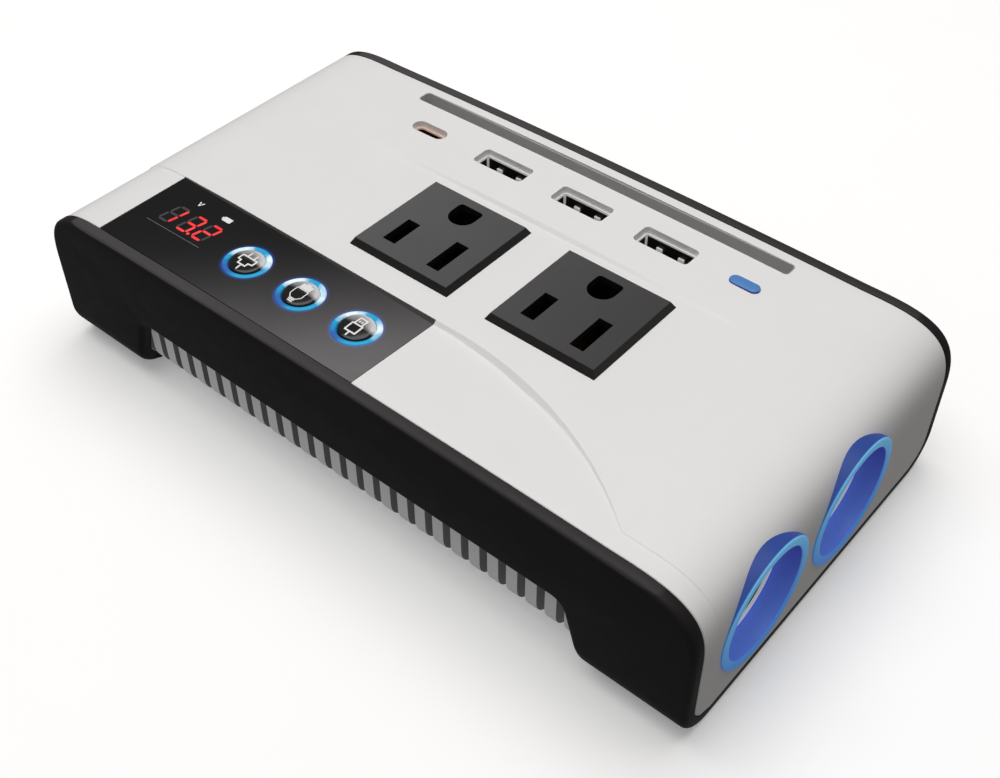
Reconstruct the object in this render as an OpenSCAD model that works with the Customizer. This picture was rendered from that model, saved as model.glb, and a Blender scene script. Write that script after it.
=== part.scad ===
// Power inverter for a car: a crowned white cover in a black wrap-round shell,
// with a finned heat sink in the arches, two mains outlets, four USB ports, a
// lit control panel and two car sockets.
// X runs along the length to the car sockets, Y from front to back, Z up.
// The origin is on the table, under the middle of the housing. Millimetres.

/* [Housing] */
// Length of the housing
body_l = 170; // [168:1:172]
// Width across the black shell
body_w = 91; // [90.6:0.1:91.6]
// Height of the crowned cover above the table
body_h = 37.8; // [37.6:0.1:38.2]
// Radius of the crown, seen from the front
crown_r = 2400; // [2200:100:2800]
// Length of each rounded shoulder
shoulder_l = 21; // [20:0.5:22]
// Height at which a shoulder meets its upright end face
shoulder_z = 20.4; // [19:0.2:21]
// Squareness of the shoulder curve, where 2 is an ellipse
shoulder_n = 3.4; // [3:0.1:3.8]
// Wall thickness of the black shell
shell_t = 2.9; // [2.7:0.1:3]
// Outer radius of the shell's lower long edges
shell_edge_r = 8.3; // [8:0.1:8.6]
// Wall thickness of the white cover
cover_t = 2.2; // [2.1:0.1:2.3]
// Thickness of the cover's side skirts
skirt_t = 1.6; // [1.5:0.1:1.7]

/* [Arches and feet] */
// Height of the arches above the shell's underside
arch_h = 17.9; // [17:0.1:18.2]
// Length of an arch at its top
arch_top_l = 114.2; // [110:0.2:116]
// Lean of an arch's end walls, in degrees
arch_lean = 16.3; // [12:0.1:18]
// Radius at the top corners of an arch
arch_top_r = 3; // [2:0.1:4]
// Radius where an arch runs out into a foot
arch_foot_r = 2.5; // [1:0.1:3]
// Diameter of the rubber pads
pad_d = 10; // [8:0.5:11]
// How far the pads stand out below the shell
pad_proud = 0.4; // [0.3:0.1:0.5]

/* [Heat sink] */
// Distance from fin to fin
fin_pitch = 4.6; // [4.4:0.1:4.8]
// Thickness of a fin
fin_w = 2.75; // [2.5:0.05:3]
// Depth of the grooves between fins
fin_d = 2.4; // [2:0.1:2.5]
// Number of fins on each side of the middle
fins_per_side = 13; // [10:1:13]
// Wall thickness behind the fins
sink_t = 1.8; // [1.6:0.1:1.8]
// Length of the heat sink
sink_l = 140; // [134:1:144]

/* [Top deck] */
// Height of the flat deck round the outlets
deck_z = 37.2; // [37.1:0.1:37.4]
// Back edge of the deck
deck_back_y = 17; // [16:0.5:18]
// Front edge of the deck, behind the control panel
deck_front_y = -19; // [-20:0.5:-18.5]
// Radius of the curve in which the deck's front edge runs out
deck_curve_r = 85.2; // [80:0.2:90]
// X where that curve begins
deck_curve_x = 10; // [8:1:12]
// Steepest fall of the front band, as height per length
band_fall = 0.07; // [0.05:0.005:0.075]

/* [Mains outlets] */
// X of the outlet centres
outlet_x = [-11.2, 25.4]; // [-40:0.1:40]
// Y of the outlet centres
outlet_y = 0.6; // [0:0.1:1]
// Side of an outlet's face at its foot
outlet_w = 26.8; // [26.4:0.1:27.2]
// Height of an outlet's face above the deck
outlet_proud = 1.6; // [1.4:0.1:1.8]
// How far the sloping edges of the face lean in
outlet_lean = 0.92; // [0.7:0.02:1.1]
// Spacing of the two blade slots
blade_spacing = 12.7; // [12.6:0.1:12.8]

/* [USB ports] */
// Y of the row of ports
port_y = 28.3; // [28:0.1:28.6]
// X of the USB-A ports
usb_a_x = [-17.4, 4.5, 26.3]; // [-28:0.1:28]
// X of the USB-C port
usb_c_x = -39.3; // [-40:0.1:-38]
// X of the blue indicator
indicator_x = 45.4; // [45:0.1:46]
// Size of the recess over a USB-A port
usb_a_recess = [13.5, 5.5]; // [5.4:0.1:13.6]
// Size of the recess over the USB-C port
usb_c_recess = [9.4, 3.7]; // [3.7:0.1:9.6]

/* [Phone groove] */
// Length of the groove
groove_l = 100.4; // [98:0.2:101]
// Width of the groove
groove_w = 3.4; // [3:0.1:3.6]
// Y of the groove's middle
groove_y = 38.2; // [38:0.1:38.3]
// Height of the groove's floor
groove_z = 29.8; // [29:0.1:31]

/* [Control panel] */
// Left and right ends of the panel
panel_x = [-69, 5]; // [-69:0.5:6]
// Thickness of the panel
panel_t = 1.6; // [1.4:0.1:1.7]
// X of the three buttons
button_x = [-36.3, -20.7, -5.2]; // [-37:0.1:-4]
// Y of the buttons
button_y = -30.6; // [-31.5:0.1:-30.5]
// Diameter of a button cap
button_d = 7.6; // [7.4:0.1:7.6]
// Travel of a button
button_travel = 0.6; // [0.4:0.1:0.6]
// Outer diameter of a button's light ring
ring_d = 10.6; // [10.4:0.1:10.8]
// Inner diameter of a light ring
ring_bore_d = 7.9; // [7.8:0.1:8]

/* [Car sockets] */
// Y of the socket centres
socket_y = [-22.6, 7.9]; // [-22.8:0.1:8]
// Height of the socket centres
socket_z = 19; // [18.9:0.1:19.1]
// Outer diameter of the blue collar
collar_d = 27.6; // [27.4:0.1:27.8]
// Bore of the collar's mouth
collar_mouth_d = 23.4; // [23:0.1:23.6]
// How far the collars stand out of the end face
collar_proud = 0.4; // [0.3:0.1:0.5]
// Bore of the metal barrel
barrel_bore_d = 21.2; // [21:0.1:21.4]
// Length of the metal barrel
barrel_l = 34.6; // [33:0.2:35]

/* [Lead gland and fan] */
// Y of the lead's gland
gland_y = -22; // [-24:0.5:-20]
// Bore of the gland
gland_bore_d = 6.4; // [5:0.1:7]
// Side of the cooling fan
fan_w = 25; // [24:0.5:25]
// Y of the fan's axis
fan_y = 14; // [12:0.5:15]
// Number of fan blades
fan_blades = 7; // [5:1:9]

/* [Hidden] */

$fn = 48;
fit_gap = 0.1;      // between pieces that lie face to face
arc_step = 15;      // degrees between the points of a rounded corner
far = 200;          // reach of a cutting tool past the housing
over = 1;           // overrun of a cut through a face

end_x = body_l / 2;
shoulder_x = end_x - shoulder_l;
shell_z = pad_proud;
floor_z = shell_z + shell_t;
inner_w = body_w - 2 * shell_t;
cover_w = inner_w - 2 * fit_gap;
cover_foot_z = floor_z + fit_gap;
cover_edge_r = shell_edge_r - shell_t - fit_gap;
skirt_z = shell_z + arch_h;
crown_steps = 8;
shoulder_steps = 12;
front_lining_t = 4.6;                      // cover thickness under the front band
front_lining_y = deck_front_y + 2.5;
sink_floor_z = cover_foot_z + fin_d + sink_t;
pad_spot = [73.5, 24];
screw_spot = [80, 35];
boss_d = 6;
boss_h = 5;
screw_d = 2.8;
screw_head = [5.4, 1.7];
screw_pocket = [6, 1.9];
screw_grip = 4;          // reach of a case screw past its head
cross_slot = [3, 0.7, 1.2];

// ---- outlines ----

function unit(v) = v / norm(v);

// The points of corner p, between neighbours a and b, rounded to radius r
function rounded_corner(a, p, b, r) =
    r == 0 ? [p] :
    let (u = unit(a - p), v = unit(b - p), half = acos(u * v) / 2,
         c = p + unit(u + v) * r / sin(half),
         s = p + u * r / tan(half) - c, e = p + v * r / tan(half) - c,
         start = atan2(s[1], s[0]), raw = atan2(e[1], e[0]) - start,
         sweep = raw > 180 ? raw - 360 : raw < -180 ? raw + 360 : raw,
         n = max(1, ceil(abs(sweep) / arc_step)))
    [for (i = [0 : n]) c + r * [cos(start + sweep * i / n), sin(start + sweep * i / n)]];

// A closed outline given as [x, y, corner radius]
function rounded(pts) = [for (i = [0 : len(pts) - 1])
    let (a = pts[(i + len(pts) - 1) % len(pts)], p = pts[i], b = pts[(i + 1) % len(pts)])
    each rounded_corner([a[0], a[1]], [p[0], p[1]], [b[0], b[1]], p[2])];

module rounded_rect(size, r) {
    w = size[0] / 2;
    h = size[1] / 2;
    polygon(rounded([[-w, -h, r], [w, -h, r], [w, h, r], [-w, h, r]]));
}

// Turns a drawing in X and Z into a solid centred on Y
module along_y(w) rotate([90, 0, 0]) linear_extrude(w, center = true) children();

// Turns a drawing in Y and Z into a solid centred on X
module along_x(l) rotate([90, 0, 90]) linear_extrude(l, center = true) children();

// A straight round bar or bore from x0 to x1
module x_bar(d, x0, x1) translate([x0, 0, 0]) rotate([0, 90, 0]) cylinder(d = d, h = x1 - x0);

// A box from one corner to the other
module box(low, high) translate(low) cube(high - low);

// An upright cut above the middle of the cover, through its top
module top_cut(x, y) translate([x, y, deck_z / 2]) linear_extrude(far) children();

module tube(d, bore, h) difference() {
    cylinder(d = d, h = h);
    translate([0, 0, -over]) cylinder(d = bore, h = h + 2 * over);
}

// A plate with a hole at each of the given spots
module plate(x, y, z, t, holes, hole_d) difference() {
    box([x[0], y[0], z], [x[1], y[1], z + t]);
    for (p = holes) translate([p[0], p[1], z - over]) cylinder(d = hole_d, h = t + 2 * over);
}

module four_spots(spot) for (sx = [-1, 1], sy = [-1, 1])
    translate([sx * spot[0], sy * spot[1], 0]) children();

// ---- housing surfaces ----

function crown_z(x) = body_h - x * x / (2 * crown_r);

// Right half of the cover's outline from the front, moved inwards by inset
function half_outline(inset) = concat(
    [for (i = [0 : crown_steps - 1]) let (x = shoulder_x * i / crown_steps) [x, crown_z(x) - inset]],
    [for (i = [0 : shoulder_steps]) let (t = 90 * i / shoulder_steps)
        [shoulder_x + (shoulder_l - inset) * pow(sin(t), 2 / shoulder_n),
         shoulder_z + (crown_z(shoulder_x) - shoulder_z - inset) * pow(cos(t), 2 / shoulder_n)]]);

// The whole outline from the front, closed at height z_low
module front_outline(inset, z_low) {
    half = half_outline(inset);
    n = len(half);
    polygon(concat([for (i = [n - 1 : -1 : 1]) [-half[i][0], half[i][1]]], half,
        [[end_x - inset, z_low], [inset - end_x, z_low]]));
}

// A trough's outline from the end: flat floor, round lower edges, open above
module trough(w, z, r) polygon(rounded([[-w / 2, z, r], [w / 2, z, r], [w / 2, far, 0], [-w / 2, far, 0]]));

// Fall of the front band at x: none at the panel's left end, most at band_low_x
band_rim = 0.15;    // the band lies this far below the black rim
band_low_x = 30;
band_end_x = 64;
function band_slope(x) = band_fall * max(0, min((x - panel_x[0]) / (band_low_x - panel_x[0]),
    (band_end_x - x) / (band_end_x - band_low_x)));
function band_z(x, y) = crown_z(x) - band_rim - band_slope(x) * (y + inner_w / 2);

// A slab that follows the front band, between two heights measured from it
band_steps = [-76 : 8 : 84];
band_reach_y = [-60, 0];
module band_slab(low, high) {
    xs = [for (x = band_steps) x];
    ys = band_reach_y;
    n = len(xs);
    pts = [for (x = xs, k = [[0, low], [1, low], [1, high], [0, high]])
        [x, ys[k[0]], band_z(x, ys[k[0]]) + k[1]]];
    sides = [for (i = [0 : n - 2], k = [0 : 3])
        let (a = 4 * i + k, b = 4 * i + (k + 1) % 4) each [[a, b + 4, b], [a, a + 4, b + 4]]];
    polyhedron(pts, concat([[0, 1, 2, 3]], sides, [[4 * n - 1, 4 * n - 2, 4 * n - 3, 4 * n - 4]]), 10);
}

// Centre of the curve in which the deck's front edge runs out to the rim
curve_steps = 12;
deck_curve_c = [deck_curve_x, deck_front_y - deck_curve_r];
deck_curve_end = acos((deck_curve_r - inner_w / 2 - deck_front_y) / deck_curve_r);
deck_front = concat([[panel_x[0], deck_front_y]],
    [for (i = [0 : curve_steps]) let (t = deck_curve_end * i / curve_steps)
        deck_curve_c + deck_curve_r * [sin(t), cos(t)]]);
deck_front_end = deck_front[len(deck_front) - 1];

// Everything in front of the deck's edge, and the deck itself, as upright prisms
module band_area() linear_extrude(far) polygon(concat(deck_front,
    [[deck_front_end[0], -body_w], [panel_x[0], -body_w]]));

module deck_area() translate([0, 0, deck_z]) linear_extrude(far) polygon(concat(deck_front,
    [[end_x, deck_front_end[1]], [end_x, deck_back_y], [-end_x, deck_back_y], [-end_x, deck_front_y]]));

module panel_area(gap) linear_extrude(far) translate([panel_x[0] + gap, -body_w / 2])
    square([panel_x[1] - panel_x[0] - 2 * gap, deck_front_y + body_w / 2 - gap]);

// ---- housing ----

front_lining_w = inner_w / 2 - skirt_t + front_lining_y;
panel_ledge = 2;
recess_r = 1;
wall_hole_depth = 14;    // reach of the holes in the end walls
grille_slot = [1.8, 3.6];    // width and spacing
grille_slots_per_side = 3;
grille_d = 22;
gland_hole_d = 11;

module cover_cavity() {
    difference() {
        along_y(cover_w - 2 * skirt_t) front_outline(cover_t, -over);
        box([-far, -far, -far], [far, front_lining_y, far]);
    }
    translate([0, front_lining_y - front_lining_w / 2, 0])
        along_y(front_lining_w) front_outline(front_lining_t, -over);
}

module cover_posts() {
    for (x = post_x) translate([x, post_y, display_board_z])
        tube(post_d, post_screw_d, body_h - front_lining_t - display_board_z);
    for (x = usb_post_x) translate([x, usb_post_y, usb_board_z])
        tube(post_d, post_screw_d, deck_z - over - usb_board_z);
    intersection() {
        four_spots(screw_spot) translate([0, 0, cover_foot_z]) cylinder(d = boss_d, h = boss_h);
        along_x(body_l - 2 * fit_gap) trough(cover_w, cover_foot_z, cover_edge_r);
    }
}

module cover_openings() {
    intersection() {
        band_slab(0, cover_t + 2 * over);
        band_area();
    }
    deck_area();
    intersection() {
        band_slab(-panel_t - fit_gap, over);
        panel_area(0);
    }
    box([panel_x[0] + panel_ledge, skirt_t - inner_w / 2, 0],
        [panel_x[1] - panel_ledge, deck_front_y - panel_ledge, far]);
    for (x = outlet_x) top_cut(x, outlet_y) square(outlet_body_w + 2 * fit_gap, center = true);
    for (x = usb_a_x) top_cut(x, port_y) rounded_rect(usb_a_recess, recess_r);
    top_cut(usb_c_x, port_y) rounded_rect(usb_c_recess, usb_c_recess[1] / 2 - fit_gap);
    top_cut(indicator_x, port_y) rounded_rect(indicator_hole, indicator_hole[1] / 2 - fit_gap);
    translate([0, groove_y, groove_z]) linear_extrude(far)
        rounded_rect([groove_l, groove_w], groove_w / 2 - fit_gap);
    for (y = socket_y) translate([0, y, socket_z])
        x_bar(collar_d + 2 * fit_gap, split_x - over, end_x + over);
    translate([0, gland_y, socket_z]) {
        x_bar(gland_hole_d, -end_x - over, over - split_x);
        x_bar(gland_flange_d + 2 * fit_gap, cover_t - end_x, over - split_x);
    }
    for (i = [-grille_slots_per_side : grille_slots_per_side]) {
        y = i * grille_slot[1];
        reach = sqrt(pow(grille_d / 2, 2) - y * y);
        translate([-end_x, fan_y + y, fan_z])
            cube([2 * (cover_t + over), grille_slot[0], 2 * reach], center = true);
    }
    four_spots(screw_spot) translate([0, 0, floor_z]) cylinder(d = screw_d + fit_gap, h = boss_h - over);
}

// The whole white cover, which is then cut into a middle and its ends
module cover() difference() {
    union() {
        difference() {
            intersection() {
                along_y(cover_w) front_outline(0, cover_foot_z);
                along_x(body_l) trough(cover_w, cover_foot_z, cover_edge_r);
            }
            cover_cavity();
            box([-sink_l / 2 - over, -far, -over], [sink_l / 2 + over, far, skirt_z]);
        }
        box([-groove_l / 2 - skirt_t, groove_y - groove_w / 2 - skirt_t, groove_z - skirt_t],
            [groove_l / 2 + skirt_t, inner_w / 2 - skirt_t, deck_z - over]);
        cover_posts();
    }
    cover_openings();
}

split_x = end_x - wall_hole_depth;
split_y = (socket_y[0] + socket_y[1]) / 2;

module cover_piece(x0, x1, y0, y1) color("whitesmoke") intersection() {
    cover();
    box([x0, y0, 0], [x1, y1, far]);
}

module top_cover() cover_piece(-split_x, split_x, -far, far);
module left_end() cover_piece(-far, -split_x, -far, far);
module front_right_end() cover_piece(split_x, far, -far, split_y);
module back_right_end() cover_piece(split_x, far, split_y, far);

module arch_cut() along_y(far) polygon(rounded([
    [-arch_foot_x - over, -over, 0], [-arch_foot_x, shell_z, arch_foot_r],
    [-arch_top_l / 2, skirt_z, arch_top_r], [arch_top_l / 2, skirt_z, arch_top_r],
    [arch_foot_x, shell_z, arch_foot_r], [arch_foot_x + over, -over, 0]]));
arch_foot_x = arch_top_l / 2 + arch_h * tan(arch_lean);

module base_shell() color("dimgray") difference() {
    intersection() {
        along_y(body_w) front_outline(0, shell_z);
        along_x(body_l) trough(body_w, shell_z, shell_edge_r);
    }
    along_x(far) trough(inner_w, floor_z, shell_edge_r - shell_t);
    arch_cut();
    four_spots(pad_spot) cylinder(d = pad_d + fit_gap, h = shell_z + pad_sunk);
    four_spots(screw_spot) {
        cylinder(d = screw_pocket[0], h = shell_z + screw_pocket[1]);
        cylinder(d = screw_d + 2 * fit_gap, h = floor_z + over);
    }
}
pad_sunk = 0.8;

module rubber_pads() color("black") four_spots(pad_spot)
    cylinder(d = pad_d, h = shell_z + pad_sunk - fit_gap);

module case_screws() color("silver") four_spots(screw_spot)
    translate([0, 0, shell_z + screw_pocket[1] - screw_head[1]]) {
        difference() {
            cylinder(d = screw_head[0], h = screw_head[1]);
            for (a = [0, 90]) rotate([0, 0, a]) cube(cross_slot, center = true);
        }
        translate([0, 0, screw_head[1] / 2]) cylinder(d = screw_d, h = screw_head[1] / 2 + screw_grip);
    }

fin_first = 0.5 - fins_per_side;
vent = [1.6, 14];    // width and length of an air slot in the floor
vent_y = 14;
vents_per_side = 5;
module heat_sink() color("silver") difference() {
    union() {
        along_x(sink_l) trough(cover_w - 2 * fin_d, cover_foot_z + fin_d, cover_edge_r - fin_d);
        for (i = [0 : 2 * fins_per_side - 1]) translate([(fin_first + i) * fin_pitch, 0, 0])
            along_x(fin_w) trough(cover_w, cover_foot_z, cover_edge_r);
        for (s = [-1, 1]) translate([s * (sink_l / 2 + sink_block_x) / 2, 0, 0])
            along_x(sink_l / 2 - sink_block_x) trough(cover_w, cover_foot_z, cover_edge_r);
    }
    along_x(far) trough(cover_w - 2 * fin_d - 2 * sink_t, sink_floor_z, 1);
    box([-far, -far, skirt_z - fit_gap], [far, far, far]);
    for (i = [-vents_per_side : vents_per_side], s = [-1, 1])
        translate([i * fin_pitch, s * vent_y, 0])
            cube([vent[0], vent[1], 2 * (sink_floor_z + over)], center = true);
}
sink_block_x = (fins_per_side + 0.5) * fin_pitch - fin_w / 2;

// ---- control panel ----

module control_panel() color("black") difference() {
    intersection() {
        band_slab(-panel_t, 0);
        panel_area(fit_gap);
        box([-far, -cover_w / 2, 0], [far, far, far]);
    }
    for (x = button_x) top_cut(x, button_y) circle(d = ring_d + 2 * fit_gap);
}

// Heights below are measured down from the panel's top at the button
ring_low = 2.8;
ring_proud = 0.25;
ring_flange = [12, 2];    // diameter, and depth of its upper face
button_flange = [9.2, 3, 0.6];    // diameter, depth, thickness
button_foot = 5.4;
button_dome_r = 35;
button_proud = 0.6;
stem_d = 4;
function button_z(i) = band_z(button_x[i], button_y);

module light_ring(i) color("deepskyblue") translate([button_x[i], button_y, button_z(i) - ring_low]) {
    tube(ring_d, ring_bore_d, ring_low + ring_proud);
    tube(ring_flange[0], ring_bore_d, ring_low - ring_flange[1]);
}

module button(i) color("black") translate([button_x[i], button_y, button_z(i)]) {
    intersection() {
        translate([0, 0, -button_flange[1] - over / 2]) cylinder(d = button_d, h = far);
        translate([0, 0, button_proud - button_dome_r]) sphere(r = button_dome_r, $fn = 96);
    }
    translate([0, 0, -button_flange[1] - button_flange[2]])
        cylinder(d = button_flange[0], h = button_flange[2]);
    translate([0, 0, -button_foot]) cylinder(d = stem_d, h = button_foot - button_flange[1]);
}

module ac_button() button(0);
module socket_button() button(1);
module usb_button() button(2);
module ac_light_ring() light_ring(0);
module socket_light_ring() light_ring(1);
module usb_light_ring() light_ring(2);

board_t = 1.2;
display_board_z = 27.5;    // top of the board
display_board_x = [-66, 2.5];
display_board_y = [-40, -17.2];
post_d = 3.6;
post_x = [-62, -31, 0];
post_y = -19.1;
post_screw_d = 1.6;
module display_board() color("darkgreen")
    plate(display_board_x, display_board_y, display_board_z - board_t, board_t,
        [for (x = post_x) [x, post_y]], post_screw_d + 2 * fit_gap);

display_box = [17.5, 10];
display_c = [-55.3, -29.3];
display_top_z = 35;
module display_module() color("black") translate([display_c[0], display_c[1], display_board_z])
    linear_extrude(display_top_z - display_board_z) square(display_box, center = true);

switch_w = 6;
plunger = [3.2, 0.8];    // diameter, and how far it stands out of its switch
function switch_h(i) = button_z(i) - button_foot - button_travel - fit_gap - display_board_z;
module button_switches() color("gray") for (i = [0 : len(button_x) - 1])
    translate([button_x[i], button_y, display_board_z]) {
        linear_extrude(switch_h(i) - plunger[1]) square(switch_w, center = true);
        cylinder(d = plunger[0], h = switch_h(i));
    }

// ---- mains outlets ----

outlet_body_w = 24.6;
outlet_depth = 15;
outlet_face_t = 3;
slot_y = -5;
blade_slots = [[-blade_spacing / 2, 8], [blade_spacing / 2, 9.6]];    // X and length
slot_w = 3.3;
ground_y = 7;
ground_d = 6.3;
ground_flat = 3.2;    // from the hole's centre to its flat side
ground_corner_r = 0.9;
chamber = [5.6, 11];
contact_t = 0.7;
contact_gap = 1.4;
contact_size = [7, 9];    // width and height of a blade's spring contact
ground_contact = [4.9, 4.3, 6];    // outer diameter, bore, height

// Round towards the blade slots, square with rounded corners on the other side
module ground_hole(h) linear_extrude(h) {
    w = ground_d / 2;
    round_r = w - fit_gap / 2;
    polygon(rounded([[-w, -w, round_r], [w, -w, round_r],
        [w, ground_flat, ground_corner_r], [-w, ground_flat, ground_corner_r]]));
}

module outlet(x) color("dimgray") translate([x, outlet_y, deck_z]) difference() {
    union() {
        intersection_for (a = [0, 90]) rotate([0, 0, a]) along_y(outlet_w) polygon([
            [-outlet_w / 2, 0], [outlet_w / 2, 0],
            [outlet_w / 2 - outlet_lean, outlet_proud], [outlet_lean - outlet_w / 2, outlet_proud]]);
        translate([0, 0, -outlet_depth]) linear_extrude(outlet_depth + over / 2)
            square(outlet_body_w, center = true);
    }
    for (s = blade_slots) translate([s[0], slot_y, 0]) {
        translate([0, 0, -outlet_face_t - over]) linear_extrude(far) square([slot_w, s[1]], center = true);
        translate([0, 0, over - outlet_depth]) linear_extrude(outlet_depth - over - outlet_face_t)
            square(chamber, center = true);
    }
    translate([0, ground_y, -outlet_depth + over]) ground_hole(far);
}

module outlet_contacts(x) color("goldenrod")
    translate([x, outlet_y, deck_z - outlet_depth + over + fit_gap]) {
        for (s = blade_slots) translate([s[0], slot_y, 0]) {
            for (k = [-1, 1]) translate([k * (contact_gap + contact_t) / 2, 0, 0])
                linear_extrude(contact_size[1]) square([contact_t, contact_size[0]], center = true);
            linear_extrude(contact_t) square([contact_gap + contact_t, contact_size[0]], center = true);
        }
        translate([0, ground_y, 0]) tube(ground_contact[0], ground_contact[1], ground_contact[2]);
    }

module left_outlet() outlet(outlet_x[0]);
module right_outlet() outlet(outlet_x[1]);
module left_outlet_contacts() outlet_contacts(outlet_x[0]);
module right_outlet_contacts() outlet_contacts(outlet_x[1]);

// ---- USB ports ----

usb_a_shell = [13.2, 5.2];
usb_a_tongue = [11.1, 1.8];
usb_c_shell = [9.1, 3.4];
usb_c_tongue = [6.7, 0.7];
shell_wall = 0.3;
usb_a_r = 0.8;
usb_c_r = 1.6;
tongue_gap = 0.05;    // round a tongue's foot, inside the metal shell
usb_a_tongue_dy = 0.9;
port_depth = 1.6;    // from the cover down to a port's mouth
tongue_depth = 2.9;  // from the mouth down to the tongue's tip
tab = [1.4, 0.5, 0.8];    // spring tab on the back wall: width, thickness, height
tab_x = 2.75;
tab_depth = 2;
port_floor_t = 3;
function port_top_z(x) = crown_z(x) - port_depth;

module port_shell(x, size, r) translate([x, port_y, usb_board_z])
    linear_extrude(port_top_z(x) - usb_board_z) difference() {
        rounded_rect(size, r);
        rounded_rect(size - 2 * shell_wall * [1, 1], r - shell_wall);
    }

module usb_a_shell(x) color("silver") {
    port_shell(x, usb_a_shell, usb_a_r);
    inner_y = port_y + usb_a_shell[1] / 2 - shell_wall;
    tab_z = port_top_z(x) - tab_depth;
    for (s = [-1, 1]) box([x + s * tab_x - tab[0] / 2, inner_y - tab[1], tab_z - tab[2]],
        [x + s * tab_x + tab[0] / 2, inner_y + shell_wall / 2, tab_z]);
}

// Tongue on its foot, filling the bottom of the metal shell
module port_tongue(x, shell, r, tongue, dy) color("black") translate([x, port_y, usb_board_z]) {
    linear_extrude(port_floor_t)
        rounded_rect(shell - 2 * (shell_wall + tongue_gap) * [1, 1], r - shell_wall);
    translate([0, dy, 0]) linear_extrude(port_top_z(x) - tongue_depth - usb_board_z)
        square(tongue, center = true);
}

module usb_a_port_tongue(x) port_tongue(x, usb_a_shell, usb_a_r, usb_a_tongue, usb_a_tongue_dy);
module left_usb_a_shell() usb_a_shell(usb_a_x[0]);
module middle_usb_a_shell() usb_a_shell(usb_a_x[1]);
module right_usb_a_shell() usb_a_shell(usb_a_x[2]);
module left_usb_a_tongue() usb_a_port_tongue(usb_a_x[0]);
module middle_usb_a_tongue() usb_a_port_tongue(usb_a_x[1]);
module right_usb_a_tongue() usb_a_port_tongue(usb_a_x[2]);
module usb_c_shell() color("silver") port_shell(usb_c_x, usb_c_shell, usb_c_r);
module usb_c_tongue() port_tongue(usb_c_x, usb_c_shell, usb_c_r, usb_c_tongue, 0);

usb_board_z = 22;    // top of the board
usb_board_x = [-52, 50];
usb_board_y = [20.8, 36];
usb_post_x = [-48, 36];
usb_post_y = 23.2;
module usb_board() color("darkgreen")
    plate(usb_board_x, usb_board_y, usb_board_z - board_t, board_t,
        [for (x = usb_post_x) [x, usb_post_y]], post_screw_d + 2 * fit_gap);

indicator_hole = [9.2, 3.5];
indicator_proud = 0.4;
indicator_low = 3;
led_d = 3;
led_h = 8.5;
module indicator_lens() color("royalblue")
    translate([indicator_x, port_y, crown_z(indicator_x) - indicator_low])
        linear_extrude(indicator_low + indicator_proud)
            rounded_rect(indicator_hole - 2 * fit_gap * [1, 1], indicator_hole[1] / 2 - 2 * fit_gap);

module indicator_led() color("white") translate([indicator_x, port_y, usb_board_z]) {
    cylinder(d = led_d, h = led_h);
    translate([0, 0, led_h]) sphere(d = led_d);
}

// ---- car sockets ----

collar_l = 12;
collar_mouth_l = 4.8;    // depth of the mouth, down to the barrel's edge
barrel_d = 22.6;
barrel_x = end_x + collar_proud - collar_mouth_l;    // X of the barrel's open end
insulator_t = 4;
contact_disc = [8, 1.2];
contact_stem_d = 3.4;
contact_tail = 2;

module collar(y) color("royalblue") translate([0, y, socket_z]) difference() {
    x_bar(collar_d, end_x + collar_proud - collar_l, end_x + collar_proud);
    x_bar(collar_mouth_d, barrel_x, end_x + over);
    x_bar(barrel_d + 2 * fit_gap, end_x - collar_l - over, barrel_x + over / 2);
}

module barrel(y) color("silver") translate([0, y, socket_z]) difference() {
    x_bar(barrel_d, barrel_x - barrel_l, barrel_x);
    x_bar(barrel_bore_d, barrel_x - barrel_l - over, barrel_x + over);
}

// Cup behind the barrel that holds the centre contact
module insulator(y) color("black") translate([barrel_x - barrel_l, y, socket_z]) difference() {
    x_bar(barrel_d, -insulator_t, 0);
    x_bar(contact_disc[0] + 2 * fit_gap, -contact_disc[1] - fit_gap, over);
    x_bar(contact_stem_d + 2 * fit_gap, -insulator_t - over, 0);
}

module centre_contact(y) color("goldenrod") translate([barrel_x - barrel_l, y, socket_z]) {
    x_bar(contact_disc[0], -contact_disc[1], 0);
    x_bar(contact_stem_d, -insulator_t - contact_tail, -contact_disc[1] / 2);
}

module front_socket_collar() collar(socket_y[0]);
module back_socket_collar() collar(socket_y[1]);
module front_socket_barrel() barrel(socket_y[0]);
module back_socket_barrel() barrel(socket_y[1]);
module front_socket_insulator() insulator(socket_y[0]);
module back_socket_insulator() insulator(socket_y[1]);
module front_socket_contact() centre_contact(socket_y[0]);
module back_socket_contact() centre_contact(socket_y[1]);

bracket_x = [54, 59];
bracket_y = [-37, 20.4];
bracket_h = 24.6;
bracket_foot_gap = 12;    // the barrels hang just clear of the heat sink's floor
module socket_bracket() color("dimgray") difference() {
    box([bracket_x[0], bracket_y[0], sink_floor_z], [bracket_x[1], bracket_y[1], sink_floor_z + bracket_h]);
    for (y = socket_y) {
        translate([0, y, socket_z]) x_bar(barrel_d + 2 * fit_gap, 0, end_x);
        box([bracket_x[0] - over, y - bracket_foot_gap / 2, 0],
            [bracket_x[1] + over, y + bracket_foot_gap / 2, sink_floor_z + over]);
    }
}

// ---- left end ----

gland_flange_d = 14;
gland_flange_t = 0.4;
gland_in = cover_t + 2;    // reach of the gland inside the end face
module lead_gland() color("black") translate([-end_x, gland_y, socket_z]) difference() {
    union() {
        x_bar(gland_flange_d, -gland_flange_t, 0);
        x_bar(gland_hole_d - 2 * fit_gap, -gland_flange_t, gland_in);
        x_bar(gland_flange_d, cover_t + fit_gap, gland_in);
    }
    x_bar(gland_bore_d, -gland_flange_t - over, gland_in + over);
}

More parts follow.
